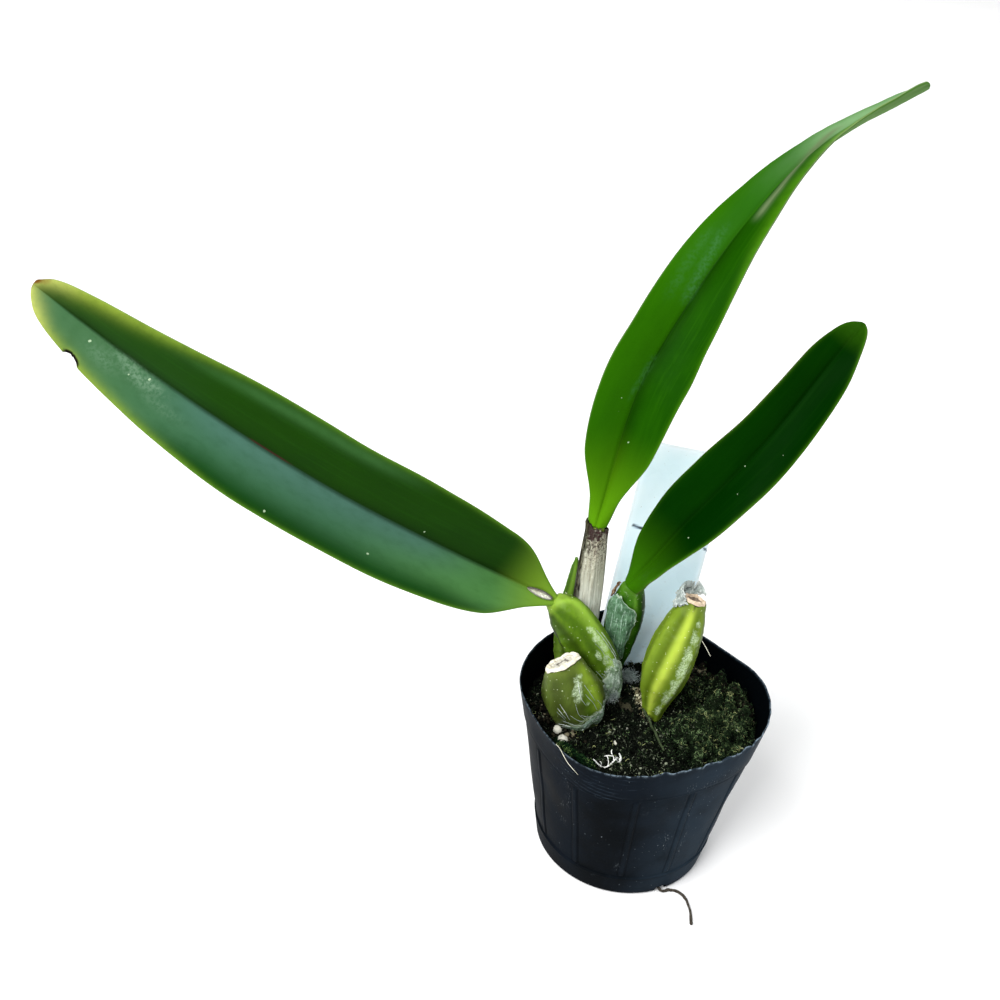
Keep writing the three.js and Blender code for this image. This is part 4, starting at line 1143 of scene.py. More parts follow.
leafTones = {
    "leaf_left": {
        "specular": 0.03, "gloss": 0.32, "low": (10, 52, 8), "high": (17, 50, 2), "deep": (12, 42, 4),
        "light": (26, 68, 8), "bloom": (46, 84, 56), "bloomAndSheenFoot": (66, 112, 58), "bloomAndSheenTip": (52, 88, 54),
        "sheen": (64, 99, 88), "paintedReflection": (46, 84, 40), "base": (118, 156, 44), "baseTop": 0.12,
        "shade": (6, 24, 2), "margin": (82, 124, 32), "yellow": (116, 134, 46), "yellowFrom": 0.5,
        "tipMargin": (150, 158, 78), "hem": (112, 140, 76), "hemShare": 0.3, "dust": (100, 128, 104),
        "streak": (120, 140, 100),
        "under": (88, 122, 60), "underDeep": (70, 104, 48), "underLight": (108, 142, 78),
    },
    "leaf_tall": {
        "specular": 0.01, "gloss": 0.4, "low": (34, 86, 1), "high": (16, 60, 0), "deep": (27, 76, 1),
        "light": (38, 90, 4), "bloom": (32, 82, 20), "bloomAndSheenFoot": (34, 84, 16), "bloomAndSheenTip": (108, 146, 98),
        "sheen": (34, 84, 16), "paintedReflection": (34, 84, 16), "base": (78, 128, 8), "baseTop": 0.16,
        "shade": (9, 40, 0), "margin": (62, 112, 12), "yellow": (124, 164, 84), "yellowFrom": 0.7,
        "tipMargin": (152, 184, 130), "hem": (120, 118, 100), "hemShare": 0.4, "dust": (50, 98, 48),
        "streak": (92, 108, 74),
        "under": (92, 126, 70), "underDeep": (78, 112, 58), "underLight": (108, 142, 88),
    },
    "leaf_right": {
        "specular": 0.006, "gloss": 0.42, "low": (3, 37, 0), "high": (1, 31, 0), "deep": (1, 28, 0),
        "light": (8, 45, 1), "bloom": (12, 50, 5), "bloomAndSheenFoot": (12, 50, 5), "bloomAndSheenTip": (12, 50, 5),
        "sheen": (12, 50, 5), "paintedReflection": (12, 50, 5), "base": (46, 95, 4), "baseTop": 0.22,
        "shade": (2, 24, 0), "margin": (54, 102, 14), "yellow": (56, 104, 14), "yellowFrom": 0.8,
        "tipMargin": (42, 84, 8), "hem": (96, 84, 64), "hemShare": 0.35, "dust": (60, 90, 50),
        "streak": (60, 90, 50),
        "under": (64, 104, 44), "underDeep": (50, 88, 32), "underLight": (84, 124, 60),
    },
}
for leafName in leafForms:
    leafMesh = laidGrid(leafName + "Blade", *bladeForm["grid"], leafPlace(leafName))
    addPiece(leafName + "_blade", leafMesh, leafFinish(leafName, leafTones[leafName]), [leafName])
print("leaves made")


# dry sheaths

def paperFinish(name, pale, dull, vein, edgeTone, gloss=0.6, stretch=(1, 1, 0.12), veinShare=0.7):
    f = Finish(name, gloss, 0.08)
    lines = f.grain(0.8, 4, stretch)
    clouds = f.grain(4, 5)
    fuzz = f.grain(0.5, 4)
    f.coat = f.blend(f.steps(clouds, 0.35, 0.65), pale, dull)
    f.paint(f.times(f.steps(lines, 0.54, 0.66), veinShare), vein)
    f.paint(f.steps(fuzz, 0.56, 0.8, 0.0, 0.55), vein)
    f.paint(f.steps("edge", 0.05, 0.0, 0.0, 0.85), edgeTone)
    f.bump(f.plus(lines, fuzz), 0.2, 0.7)
    return f.done()


def scrapSheet(name, bulb, rows, thickness=0.45, cling=0.42, wave=0.18, ragged=1.0, seed=60, grid=(60, 80)):
    # rows: (t, from turn, to turn, stand off), read smoothly from the lower to the upper border
    form = bulbForms[bulb]
    share = np.linspace(0, 1, len(rows))
    columns = [through(share, [row[k] for row in rows]) for k in range(4)]

    def surface(x, y):
        t, low, high, off = (column(y) for column in columns)
        lineUp = np.stack([x * 9, y * 20, 0 * x], axis=1)
        side = np.stack([(x > 0.5) * 40.0, y * 20, 0 * x], axis=1)
        low = low + ragged * 3.0 * ripple(side, 2.2, seed) * (1 - x)
        high = high + ragged * 3.0 * ripple(side, 2.2, seed + 1) * x
        t = t + ragged * 0.012 * ripple(np.stack([x * 9, (y > 0.5) * 40.0, 0 * x], axis=1), 2.2, seed + 2)
        turn = np.radians(low + (high - low) * x)
        out = cling + thickness / 2 + off + wave * ripple(lineUp * [2.2, 0.35, 1], 3.0, seed + 3)
        out = out + 0.08 * ripple(lineUp, 1.3, seed + 4)
        return bulbPoint(form, t, turn, np.maximum(out, 0.15))

    return laidSheet(name, *grid, surface, thickness)


silverPaper = paperFinish("silverPaper", (90, 126, 96), (60, 92, 64), (164, 190, 172), (176, 194, 174),
                          stretch=(1.7, 1.7, 0.1), veinShare=0.6)
middleRows = [(0.355, 14, 24, 0), (0.41, -3, 22, 0), (0.475, -23, 20, 0.1), (0.542, -49, 21, 0.2),
              (0.645, -68, 26, 0.2), (0.7, -78, 27, 0.3), (0.78, -88, 25, 0.3), (0.85, -80, -8, 0.3),
              (0.92, -60, -40, 0.2)]
middlePaper = scrapSheet("middlePaper", "bulb_middle", middleRows, wave=0.1, ragged=0.6)
addPiece("middle_sheath_paper", middlePaper, silverPaper, ["sheath_middle"])

brownPaper = paperFinish("brownPaper", (168, 138, 108), (112, 84, 60), (206, 190, 160), (70, 50, 36), 0.8)
brownRows = [(0.84, -116, -92, 0.2), (0.89, -124, -82, 0.4), (0.95, -122, -84, 0.5), (0.98, -112, -92, 0.3)]
brownScrap = scrapSheet("brownScrap", "bulb_middle", brownRows, wave=0.25, seed=66, grid=(24, 24))
addPiece("middle_brown_scrap", brownScrap, brownPaper)

greyPaper = paperFinish("greyPaper", (176, 186, 182), (138, 148, 144), (222, 228, 224), (198, 204, 200),
                        0.8)
capRows = [(0.99, -168, -66, 0), (1.006, -194, -54, 0.1), (1.024, -214, -62, 0.35), (1.045, -222, -86, 0.6),
           (1.07, -202, -116, 0.3), (1.085, -184, -150, -0.2)]
capPaper = scrapSheet("capPaper", "bulb_right_cut", capRows, wave=0.3, ragged=1.3, seed=70)
addPiece("right_cap_paper", capPaper, greyPaper, ["sheath_right_cap"])
flapRows = [(0.964, -88, -50, 0.4), (0.985, -98, -36, 0.7), (1.015, -100, -46, 0.9), (1.04, -92, -58, 0.8)]
capFlap = scrapSheet("capFlap", "bulb_right_cut", flapRows, wave=0.35, ragged=1.6, seed=75, grid=(36, 36))
addPiece("right_cap_flap", capFlap, greyPaper)

footFinish = paperFinish("footPaper", (160, 182, 162), (106, 132, 100), (212, 224, 212), (176, 192, 170),
                         0.8, (1, 1, 0.6))
footPaperRows = [(0.1, 20, 70, 0.1), (0.17, 2, 78, 0.3), (0.25, 8, 80, 0.3), (0.32, 18, 74, 0.2),
                 (0.37, 30, 52, 0.1)]
footPaper = scrapSheet("footPaper", "bulb_left", footPaperRows, 0.2, cling=0.15, wave=0.2, ragged=2.2,
                       seed=80)
addPiece("left_foot_paper", footPaper, footFinish)


# tall paper sleeve round the back bulb, outside first and then inside
sleeveForm = {"grid": (150, 190), "foot": 0.1, "top": 1.008, "slope": 0.024, "inside": 0.42, "wall": 0.62}


def backPlace(a, b):
    turn = tau * a + math.pi
    outer = b < 0.5
    share = np.where(outer, b * 2, 2 - b * 2)
    ring = ringAt(6, turn, 0)
    top = sleeveForm["top"] - sleeveForm["slope"] * np.sin(turn)
    top = top + 0.004 * np.sin(5 * turn) + 0.004 * ripple(ring, 1.6, 90)
    t = sleeveForm["foot"] + (top - sleeveForm["foot"]) * share
    side = np.where(outer, 1.0, 0.0)
    side = np.where((b < 1e-6) | (b > 1 - 1e-6), 0.5, side)
    folds = 0.16 * ripple(ringAt(6, turn, 7 * t) * [1, 1, 0.25], 2.2, 91)
    folds = folds + 0.05 * np.sin(31 * turn + 2 * np.sin(9 * t))
    flare = 0.25 * smooth(share, 0.93, 1.0) * (0.5 + ripple(ring, 3, 92))
    out = sleeveForm["inside"] + sleeveForm["wall"] * side + np.maximum(folds, -0.2) + flare
    points = bulbPoint(bulbForms["bulb_back"], t, turn, np.maximum(out, 0.12))
    return points, {"rise": t, "turnSide": np.sin(turn)}


def backFinish():
    f = Finish("stemPaper", 0.75, 0.08)
    fibre = f.grain(0.5, 4, (1, 1, 0.06))
    clouds = f.grain(3.5, 5, (1, 1, 0.5))
    rise = f.mark("rise")
    f.coat = f.blend(f.steps(rise, 0.3, 0.8), (242, 248, 238), (164, 164, 146))
    f.paint(f.steps(clouds, 0.4, 0.65, 0.0, 0.5), (160, 154, 134))
    f.paint(f.steps(fibre, 0.52, 0.7, 0.0, 0.5), (112, 104, 84))
    f.paint(f.steps(f.grain(0.7, 3, (1, 1, 0.3)), 0.6, 0.7, 0.0, 0.5), (224, 222, 206))
    wine = f.steps(f.plus(rise, f.times(f.grain(2.4, 5), 0.4)), 1.09, 1.2)
    f.paint(f.times(wine, 0.94), (34, 15, 18))
    speck = f.times(f.steps(f.grain(0.7, 3), 0.5, 0.56), f.steps(rise, 0.66, 0.97))
    f.paint(f.times(speck, 0.85), (48, 26, 28))
    left = f.steps(f.plus("turnSide", f.times(f.grain(2, 4, (1, 1, 0.3)), 0.5)), -0.34, -0.6)
    f.paint(f.times(left, 0.8), (56, 56, 32))
    black = f.times(left, f.steps(fibre, 0.42, 0.54))
    f.paint(f.times(black, 0.92), (10, 9, 8))
    f.bump(f.plus(fibre, clouds), 0.3, 0.8)
    return f.done()


stemPaper = laidGrid("stemPaper", *sleeveForm["grid"], backPlace)
addPiece("back_stem_paper", stemPaper, backFinish(), ["sheath_back"])


# dry slit where the old flower sheath stood, in the fold at the left leaf's foot
boatForm = {"from": 0.010, "to": 0.053, "half": 1.55, "lift": 0.42, "thickness": 0.6}


def boatSurface(x, y):
    form = leafForms["leaf_left"]
    t = boatForm["from"] + (boatForm["to"] - boatForm["from"]) * y
    half = boatForm["half"] * (0.06 + 0.94 * np.sin(math.pi * y) ** 0.7)
    u = (2 * x - 1) * half / leafWidth(form, t)
    crinkle = 0.1 * ripple(np.stack([x * 4, y * 12, 0 * x], axis=1), 2, 95)
    return leafPoint(form, t, u, np.ones_like(u), boatForm["lift"] + 0.55 * (2 * x - 1) ** 2 + crinkle)


def boatMarks(x, y):
    return {"hollow": 1 - np.abs(2 * x - 1)}


def boatFinish():
    f = Finish("dryBoat", 0.8, 0.15)
    f.coat = f.blend(f.steps(f.grain(1.2, 4, (1, 1, 0.5)), 0.35, 0.65), (238, 238, 228), (204, 202, 184))
    # painted shade in the hollow and along one inner side
    f.paint(f.steps("hollow", 0.86, 0.98, 0.0, 0.6), (120, 104, 80))
    f.paint(f.steps("across", 0.3, 0.7, 0.0, 0.7), (34, 26, 18))
    f.paint(f.steps("edge", 0.08, 0.03, 0.0, 0.7), (40, 30, 20))
    f.bump(f.grain(0.5, 4), 0.2, 0.8)
    return f.done()


dryBoat = laidSheet("dryBoat", 30, 60, boatSurface, boatForm["thickness"], boatMarks)
addPiece("dry_boat", dryBoat, boatFinish(), ["flower_sheath_stub"])
print("dry sheaths made")


# plant label

labelForm = {"width": 32.0, "length": 118.0, "corner": 3.0, "point": 26.0, "thickness": 0.62,
             "across": (0.993, 0, -0.115), "rise": (0.112, 0.232, 0.966), "top": (8.2, 50, 147.7)}
labelAcross = np.array(labelForm["across"])
labelRise = unit(np.array(labelForm["rise"]))
labelOut = unit(np.cross(labelAcross, labelRise))


def labelSurface(x, y):
    form = labelForm
    half = form["width"] / 2
    up = y * form["length"]
    width = np.where(up < form["point"], half * (0.25 + 0.75 * up / form["point"]), half)
    rounding = np.maximum(0, form["corner"] - (form["length"] - up))
    width = width - form["corner"] + np.sqrt(np.maximum(form["corner"] ** 2 - rounding ** 2, 0))
    place = np.array(form["top"]) + (2 * x - 1)[:, None] * width[:, None] * labelAcross
    place = place + (up - form["length"])[:, None] * labelRise
    bow = 0.35 * np.sin(math.pi * y) - 0.25 * (2 * x - 1) ** 2
    return place + labelOut * bow[:, None]


def labelMarks(x, y):
    flat = labelSurface(x, y) - np.array(labelForm["top"])
    wide, up = flat @ labelAcross, flat @ labelRise
    strokes = np.zeros_like(x)
    for ax, ay, bx, by, half in labelStrokes:
        line = np.array([bx - ax, by - ay])
        share = np.clip(((wide - ax) * line[0] + (up - ay) * line[1]) / (line @ line), 0, 1)
        gap = np.hypot(wide - ax - share * line[0], up - ay - share * line[1])
        strokes = np.maximum(strokes, 1 - smooth(gap, half * 0.6, half * 1.5))
    return {"up": up, "stroke": strokes, "rim": np.minimum(labelForm["width"] / 2 - np.abs(wide), -up)}


# plain pencil strokes on the front: start and end from the middle of the top edge, and half width
labelStrokes = [(-13.4, -33.7, -9.0, -34.3, 0.56), (14.7, -37.4, 16.0, -38.2, 0.5)]


def labelFinish():
    f = Finish("labelPlastic", 0.3, 0.2)
    clouds = f.grain(18, 3)
    f.coat = f.blend(f.steps("up", -100, -20), (182, 218, 240), (198, 230, 248))
    f.paint(f.steps(clouds, 0.35, 0.7, 0.0, 0.5), (214, 239, 252))
    f.paint(f.steps("rim", 1.4, 0.2, 0.0, 0.6), (176, 198, 208))
    dirt = f.times(f.steps(f.grain(2.5, 5), 0.56, 0.72), f.steps("up", -50, -88))
    f.paint(f.times(dirt, 0.3), (128, 146, 136))
    flecks = f.steps(f.grain(0.9, 1), 0.75, 0.78)
    f.paint(f.times(flecks, 0.35), (110, 124, 132))
    f.paint(f.times("stroke", "front"), (8, 10, 12))
    f.gloss(f.steps(clouds, 0.3, 0.7, 0.26, 0.38))
    f.bump(f.grain(0.6, 3), 0.02, 0.4)
    f.glow(0.75, (0.9, 1.0, 1.1), 0.004)
    return f.done()


plantLabel = laidSheet("plantLabel", 90, 240, labelSurface, labelForm["thickness"], labelMarks)
addPiece("plant_label", plantLabel, labelFinish(), ["label"])


# potting mix

# mounds are (x, y, reach, height); the spots of moss are (x, y, reach, weight)
mixForm = {
    "level": 60.5, "foot": 1.7, "around": 430, "rows": 190, "topRows": 0.8, "sideRows": 0.12,
    "feetBetween": (54, 70), "searched": (-46, 50),
    "mounds": [(33, 8, 9, 6), (27, -9, 10, 5), (17, 21, 8, 3), (4, -20, 15, 3.5), (-22, -24, 9, 1),
               (-1.7, 9.0, 3.2, 4.0), (-0.7, 4.4, 2.6, 3.6), (0.6, 0.0, 2.4, 3.6), (1.3, -3.4, 2.2, 3.0),
               (3.0, -7.2, 2.2, 1.6), (-10.4, 1.6, 3.0, 3.2), (13.5, -5.5, 4.5, 1.6)],
}
greenSpots = [(33, 8, 9, 1), (27, -9, 9.5, 1), (36, -2, 8, 0.9), (20, -18, 8, 0.55), (18, 14, 6, 0.45),
              (29, 20, 8, 0.6), (14, -12, 7, 0.45), (40, 4, 5, 0.8)]
paleSpots = [(24, -7, 6, 1), (27, -13, 6, 0.9), (33, 2, 7, 0.5), (23, -1, 5, 0.6), (38, 8, 5, 0.35),
             (30, 16, 6, 0.3)]
clodSpots = [(39, 9, 7, 1), (30, 26, 6, 0.9), (22, 24, 6, 0.6), (-33, -2, 6, 0.7), (-30, -12, 6, 0.5)]


def heaps(x, y, spots):
    return sum(high * np.exp(-((x - cx) ** 2 + (y - cy) ** 2) / reach ** 2)
               for cx, cy, reach, high in spots)


def humps(x, y, spots):
    return np.clip(heaps(x, y, spots), 0, 1)


def mixTop(x, y):
    swells = 0.5 * np.sin(0.9 * x + 1.1) * np.cos(0.8 * y) + 0.35 * np.sin(0.53 * x - 0.71 * y + 2)
    return mixForm["level"] + heaps(x, y, mixForm["mounds"]) + swells


def mixFine(x, y):
    # clods, crumbs and pores on top of the mounds
    flat = np.stack([x, y, 0 * x], axis=1)
    mossy = humps(x, y, greenSpots)
    clods = (0.5 + 3.1 * mossy) * np.abs(ripple(flat, 7.5, 101)) - 0.4 - 1.5 * mossy
    crumbly = 0.32 * ripple(flat, 2.4, 102) + 0.2 * np.abs(ripple(flat, 1.2, 103))
    return mixTop(x, y) + clods + (crumbly + 0.1 * ripple(flat, 0.7, 104))


def mixReach(turn, height):
    # the mix's border, a hair inside the pot's wall
    gap = np.where(height > potForm["bandFoot"] + 0.1, 0.08, potForm["step"] + 0.05)
    return potRadius(turn, height) - potForm["wall"] - gap


def mixPlace(a, b):
    # rows: the top, then the side, then the underside
    topRows, sideRows = mixForm["topRows"], mixForm["sideRows"]
    underRows = 1 - topRows - sideRows
    turn = tau * a + math.pi / 2
    onTop = b < topRows
    share = np.clip(b / topRows, 0, 1) ** 0.75
    out = share * mixReach(turn, 0 * turn + mixForm["level"])
    x, y = out * np.cos(turn), out * np.sin(turn)
    fine = mixFine(x, y)
    top = fine - 0.5 * smooth(share, 0.94, 1.0)
    down = np.clip((b - topRows) / sideRows, 0, 1)
    edge = top * (1 - down) + mixForm["foot"] * down
    close = np.clip((1 - b) / underRows, 0, 1)
    sideOut = (mixReach(turn, edge) - 0.1 * smooth(down, 0, 0.2)) * close
    # how far the top dips below its mounds, for painted shade in the clefts
    deep = np.where(onTop, fine - mixTop(x, y), -1.0)
    points = ringAt(np.where(onTop, out, sideOut), turn, np.where(onTop, top, edge))
    return points, {"deep": deep, "mossy": humps(points[:, 0], points[:, 1], greenSpots)}


def mixFinish():
    f = Finish("blackPeat", 0.95, 0.02)
    fine = f.grain(0.6, 6)
    clods = f.grain(4, 5)
    f.coat = f.blend(f.steps(clods, 0.35, 0.65), (6, 8, 6), (13, 16, 11))
    f.paint(f.steps(f.grain(9, 3), 0.45, 0.62, 0.0, 0.7), (11, 19, 10))
    f.paint(f.times("mossy", 0.7), (20, 30, 15))
    f.paint(f.steps(fine, 0.56, 0.7, 0.0, 0.5), (50, 58, 43))
    # near black in the clefts and on the underside: painted shade
    f.paint(f.steps("deep", 0.2, -0.6, 0.0, 0.9), (2, 3, 2))
    f.paint(f.steps(f.grain(0.7, 2), 0.64, 0.7, 0.0, 0.75), (122, 132, 108))
    f.bump(f.plus(fine, clods), 0.5, 0.9)
    return f.done()


peatBed = laidGrid("peatBed", mixForm["around"], mixForm["rows"], mixPlace)
addPiece("peat_bed", peatBed, mixFinish(), ["potting_mix"])


# moss, fibres and grains on the mix

def insideBulb(x, y, margin):
    # true where a point on the mix lies within a bulb's foot
    hidden = np.zeros(len(x), dtype=bool)
    for form in bulbForms.values():
        for t in (0.05, 0.15, 0.25):
            at = curvePoint(form["points"], np.array([t]))[0]
            if mixForm["feetBetween"][0] <= at[2] <= mixForm["feetBetween"][1]:
                radius = float(through(fifths, form["radii"])(t)) + margin
                hidden |= np.hypot(x - at[0], y - at[1]) < radius
    return hidden


def spread(count, seed, weigh):
    # seeded places on the mix, thicker where the weight is higher
    rng = np.random.default_rng(seed)
    found = np.empty((0, 2))
    while len(found) < count:
        x, y = tries = rng.uniform(*mixForm["searched"], (count * 4, 2)).T
        inside = np.hypot(x, y) < mixReach(np.arctan2(y, x), 0 * x + mixForm["level"]) - 0.6
        keep = inside & (rng.uniform(0, 1, len(x)) < weigh(x, y)) & ~insideBulb(x, y, -0.5)
        found = np.vstack([found, tries.T[keep]])
    return found[:count], rng


curlSteps = np.linspace(0, 1, 6)


def curlAxes(rng, count):
    axis = unit(rng.normal(size=(count, 3)))
    return axis, unit(np.cross(axis, unit(rng.normal(size=(count, 3)))))


def arcs(centres, axis, first, size, angle):
    # one arc about each centre, across its axis
    second = np.cross(axis, first)
    return (centres[:, None] + first[:, None] * (size * np.cos(angle))[..., None]
            + second[:, None] * (size * np.sin(angle))[..., None])


def heldIn(paths, height, margin):
    # draws stray ends back inside the pot's wall
    x, y = paths[..., 0], paths[..., 1]
    limit = potRadius(np.arctan2(y, x), 0 * x + height) - margin
    over = np.maximum(1, np.hypot(x, y) / limit)
    paths[..., :2] = paths[..., :2] / over[..., None]
    return paths


def curls(name, count, seed, weigh, radius, sweep, thick, rise):
    # loose curls: arcs that stand at any angle and drift a little
    places, rng = spread(count, seed, weigh)
    size = rng.uniform(*radius, count)
    arc = np.radians(rng.uniform(*sweep, count))
    start = rng.uniform(0, tau, count)
    axis, first = curlAxes(rng, count)
    angle = start[:, None] + arc[:, None] * curlSteps
    grow = size[:, None] * (1 - 0.25 * curlSteps)
    drift = axis * rng.uniform(-1.1, 1.1, (count, 1))
    high = mixFine(places[:, 0], places[:, 1]) + rng.uniform(*rise, count) + 0.15 * size
    paths = arcs(np.column_stack([places, high]), axis, first, grow, angle)
    paths = heldIn(paths + drift[:, None, :] * curlSteps[None, :, None], 61.0, 1.3)
    return strands(name, paths, rng.uniform(*thick, count), axis, rng.uniform(0, 1, count))


def strandFinish(name, dark, middle, light, gloss=0.8, bright=0.84):
    # the few brightest strands take the light tone; a lower bright gives more of them
    f = Finish(name, gloss, 0.04)
    uneven = f.times(f.sum("SUBTRACT", f.grain(5, 3), 0.39), 1.6)
    tone = f.plus(f.times("tone", 0.75), uneven)
    f.coat = f.blend(f.steps(tone, 0.3, 0.8), dark, middle)
    f.paint(f.steps(tone, bright, bright + 0.16), light)
    f.bump(f.grain(0.3, 2), 0.05, 0.5)
    return f.done()


def raised(x, y):
    # 0 in the dark clefts between the cushions, 1 on top of them
    return smooth(mixFine(x, y) - mixTop(x, y), -1.3, 0.6)


def greenWeight(x, y):
    return 0.015 + humps(x, y, greenSpots) * (0.03 + 0.9 * raised(x, y))


def paleWeight(x, y):
    return 0.015 + humps(x, y, paleSpots) * (0.02 + 0.95 * raised(x, y))


def peatWeight(x, y):
    return 0.85 - 0.75 * humps(x, y, greenSpots)


for fuzzName, fuzzMesh, fuzz, fuzzTones in (
    ("moss_green", "mossGreen",
     (5400, 201, greenWeight, (0.3, 0.85), (120, 320), (0.09, 0.17), (-0.2, 1.4)),
     ("mossGreen", (12, 20, 11), (46, 66, 40), (108, 130, 88), 0.8, 0.76)),
    ("moss_pale", "mossPale", (2100, 202, paleWeight, (0.3, 0.9), (120, 300), (0.08, 0.15), (0.2, 2.0)),
     ("mossPale", (22, 34, 20), (64, 82, 50), (154, 160, 108), 0.8, 0.76)),
    ("peat_fibres", "peatFibres",
     (5600, 203, peatWeight, (0.35, 1.2), (50, 220), (0.06, 0.12), (-0.3, 0.7)),
     ("peatFibre", (6, 8, 6), (28, 34, 25), (110, 118, 98), 0.8, 0.84)),
):
    addPiece(fuzzName, curls(fuzzMesh, *fuzz), strandFinish(*fuzzTones))


def grains(name, count, seed, weigh, size, tones, rise=(-0.1, 0.35)):
    places, rng = spread(count, seed, weigh)
    high = mixFine(places[:, 0], places[:, 1]) + rng.uniform(*rise, count)
    sizes = rng.uniform(size[0] ** 0.5, size[1] ** 0.5, count) ** 2
    mesh = crumbs(name, np.column_stack([places, high]), sizes, seed + 1, rng.uniform(0, 1, count))
    addPiece(name + "_grains", mesh, strandFinish(name + "Grain", *tones))


def grainWeight(x, y):
    return 0.9 + 0 * x


def clodWeight(x, y):
    return humps(x, y, clodSpots)


grains("peat", 3800, 301, grainWeight, (0.16, 0.6), ((4, 6, 4), (20, 23, 17), (130, 136, 116), 0.8, 0.84))
grains("clod", 900, 305, clodWeight, (0.3, 0.95), ((10, 9, 7), (34, 31, 23), (108, 102, 82), 0.8, 0.8),
       (0.0, 1.2))
print("mix and moss made")


# larger grains, films and loose threads

def pebbles(centres, name, tones, seed, rough):
    # rounder, finer grains than the crumbs, a few only
    bm = bmesh.new()
    rng = np.random.default_rng(seed)
    for x, y, z, size in centres:
        made = bmesh.ops.create_icosphere(bm, subdivisions=3, radius=size * mm)
        stretch = Vector(rng.uniform(0.82, 1.1, 3))
        for v in made["verts"]:
            bulge = 1 + rough * noise.noise(v.co / (size * mm) * 1.3 + Vector((x, y, z)))
            bulge += rough * 0.5 * noise.noise(v.co / (size * mm) * 4 + Vector((y, z, x)))
            v.co = v.co * stretch * bulge + Vector((x, y, z)) * mm
    mesh = meshFrom(bm, name)
    setMarks(mesh, {"tone": np.full(len(mesh.vertices), 0.7)})
    addPiece(name, mesh, strandFinish(name + "Stone", *tones))


perliteAt = [(-28.4, -18.4, 62.4, 1.9), (-30.4, -13.6, 62.3, 1.6), (-9.4, -18.4, 62.9, 0.6),
             (-5.0, -9.9, 62.6, 0.5), (-9.6, -18.0, 63.4, 0.45)]
pebbles(perliteAt, "perlite", ((120, 122, 112), (176, 176, 164), (208, 206, 192), 0.8, 0.4), 401, 0.2)

# beige crumbs along a line on the mix
rngBeige = np.random.default_rng(411)
beigeCount = 200
beigeLine = np.array([(-2.2, 11.6, 0), (-1.5, 8.2, 0), (-0.6, 4.6, 0), (0.5, 1.0, 0), (1.6, -2.6, 0),
                      (2.6, -5.4, 0)])
beigeAt = curvePoint(beigeLine, rngBeige.uniform(0, 1, beigeCount))
beigeAt = beigeAt + rngBeige.normal(0, 0.75, (beigeCount, 3)) * [1, 1, 0]
beigeAt[:, 2] = mixFine(beigeAt[:, 0], beigeAt[:, 1]) + rngBeige.uniform(0, 0.9, beigeCount)
beigeSizes = rngBeige.uniform(0.22, 0.55, beigeCount)
beigeMesh = crumbs("beigeCrumbs", beigeAt, beigeSizes, 412, rngBeige.uniform(0, 1, beigeCount))
beigeFinish = strandFinish("beigeCrumb", (84, 80, 60), (142, 136, 106), (200, 198, 168), 0.8, 0.62)
addPiece("beige_crumbs", beigeMesh, beigeFinish)


def threads(name, lines, thick, material, seed, shake=0.12, tip=0.5):
    # named loose threads, each along its own few points, slightly shaken
    rng = np.random.default_rng(seed)
    share = np.linspace(0, 1, 25)
    paths = np.stack([curvePoint(line, share) for line in lines])
    paths = paths + np.cumsum(rng.normal(0, shake / 5, paths.shape), axis=1)
    widths = np.broadcast_to(np.array(thick, float), len(lines))
    facing = unit(rng.normal(size=(len(lines), 3)))
    tones = rng.uniform(0.4, 0.9, len(lines))
    addPiece(name, strands(name, paths, widths, facing, tones, 5, tip), material)


def onMix(stops):
    # (x, y, height above the mix) as points
    x, y, up = np.array(stops, float).T
    return np.column_stack([x, y, mixFine(x, y) + up])


def onWall(stops):
    # (degrees, height, distance from the wall) as points
    turn, height, out = np.array(stops, float).T
    turn = np.radians(turn)
    return ringAt(potRadius(turn, height) + out, turn, height)


# small branched white root on the mix
chalkWhite = strandFinish("whiteRoot", (190, 194, 190), (220, 223, 218), (242, 242, 238), 0.7, 0.5)
threads("white_root", [onMix(stops) for stops in (
    [(-17.4, -27.6, 0.3), (-16.6, -28.8, 0.4), (-15.3, -29.6, 0.4), (-13.0, -29.5, 0.5),
     (-11.2, -28.8, 0.6), (-9.4, -27.4, 0.7), (-7.9, -25.5, 0.8)],
    [(-10.2, -27.9, 0.5), (-10.1, -26.4, 1.0), (-10.4, -24.8, 1.3), (-10.9, -23.4, 1.3),
     (-10.7, -22.3, 1.3)],
    [(-10.3, -25.4, 1.2), (-11.8, -24.9, 1.1), (-13.4, -24.8, 0.9)],
    [(-12.0, -28.9, 0.5), (-11.8, -27.4, 0.8), (-12.4, -25.8, 0.9), (-13.2, -25.0, 0.9)],
    [(-9.4, -27.4, 0.7), (-8.2, -27.2, 0.9), (-7.4, -25.6, 1.1), (-8.2, -24.4, 1.2)],
    [(-14.4, -29.4, 0.4), (-14.6, -28.4, 0.8), (-15.0, -27.9, 0.9)],
    [(-8.8, -26.8, 0.8), (-8.6, -25.6, 1.2), (-9.6, -24.9, 1.2)],
    [(-8.4, -26.2, 0.8), (-7.6, -25.8, 1.2), (-8.0, -24.9, 1.2)],
)], [0.33, 0.22, 0.17, 0.17, 0.36, 0.16, 0.24, 0.3], chalkWhite, 421, shake=0.09)

paleHair = strandFinish("paleHair", (150, 150, 130), (190, 188, 166), (226, 224, 204), 0.6, 0.5)
threads("loose_hairs", [
    [(17.6, 2.0, 97.4), (19.4, 2.1, 94.6), (21.7, 2.0, 90.7)],
    onWall([(-133.0, 74.5, -0.3), (-130.0, 74.7, 0.0), (-127.2, 73.6, 0.55), (-124.8, 71.3, 0.6),
            (-122.2, 69.7, 0.5), (-119.4, 67.9, 0.45)]),
], [0.13, 0.12], paleHair, 431, shake=0.03)


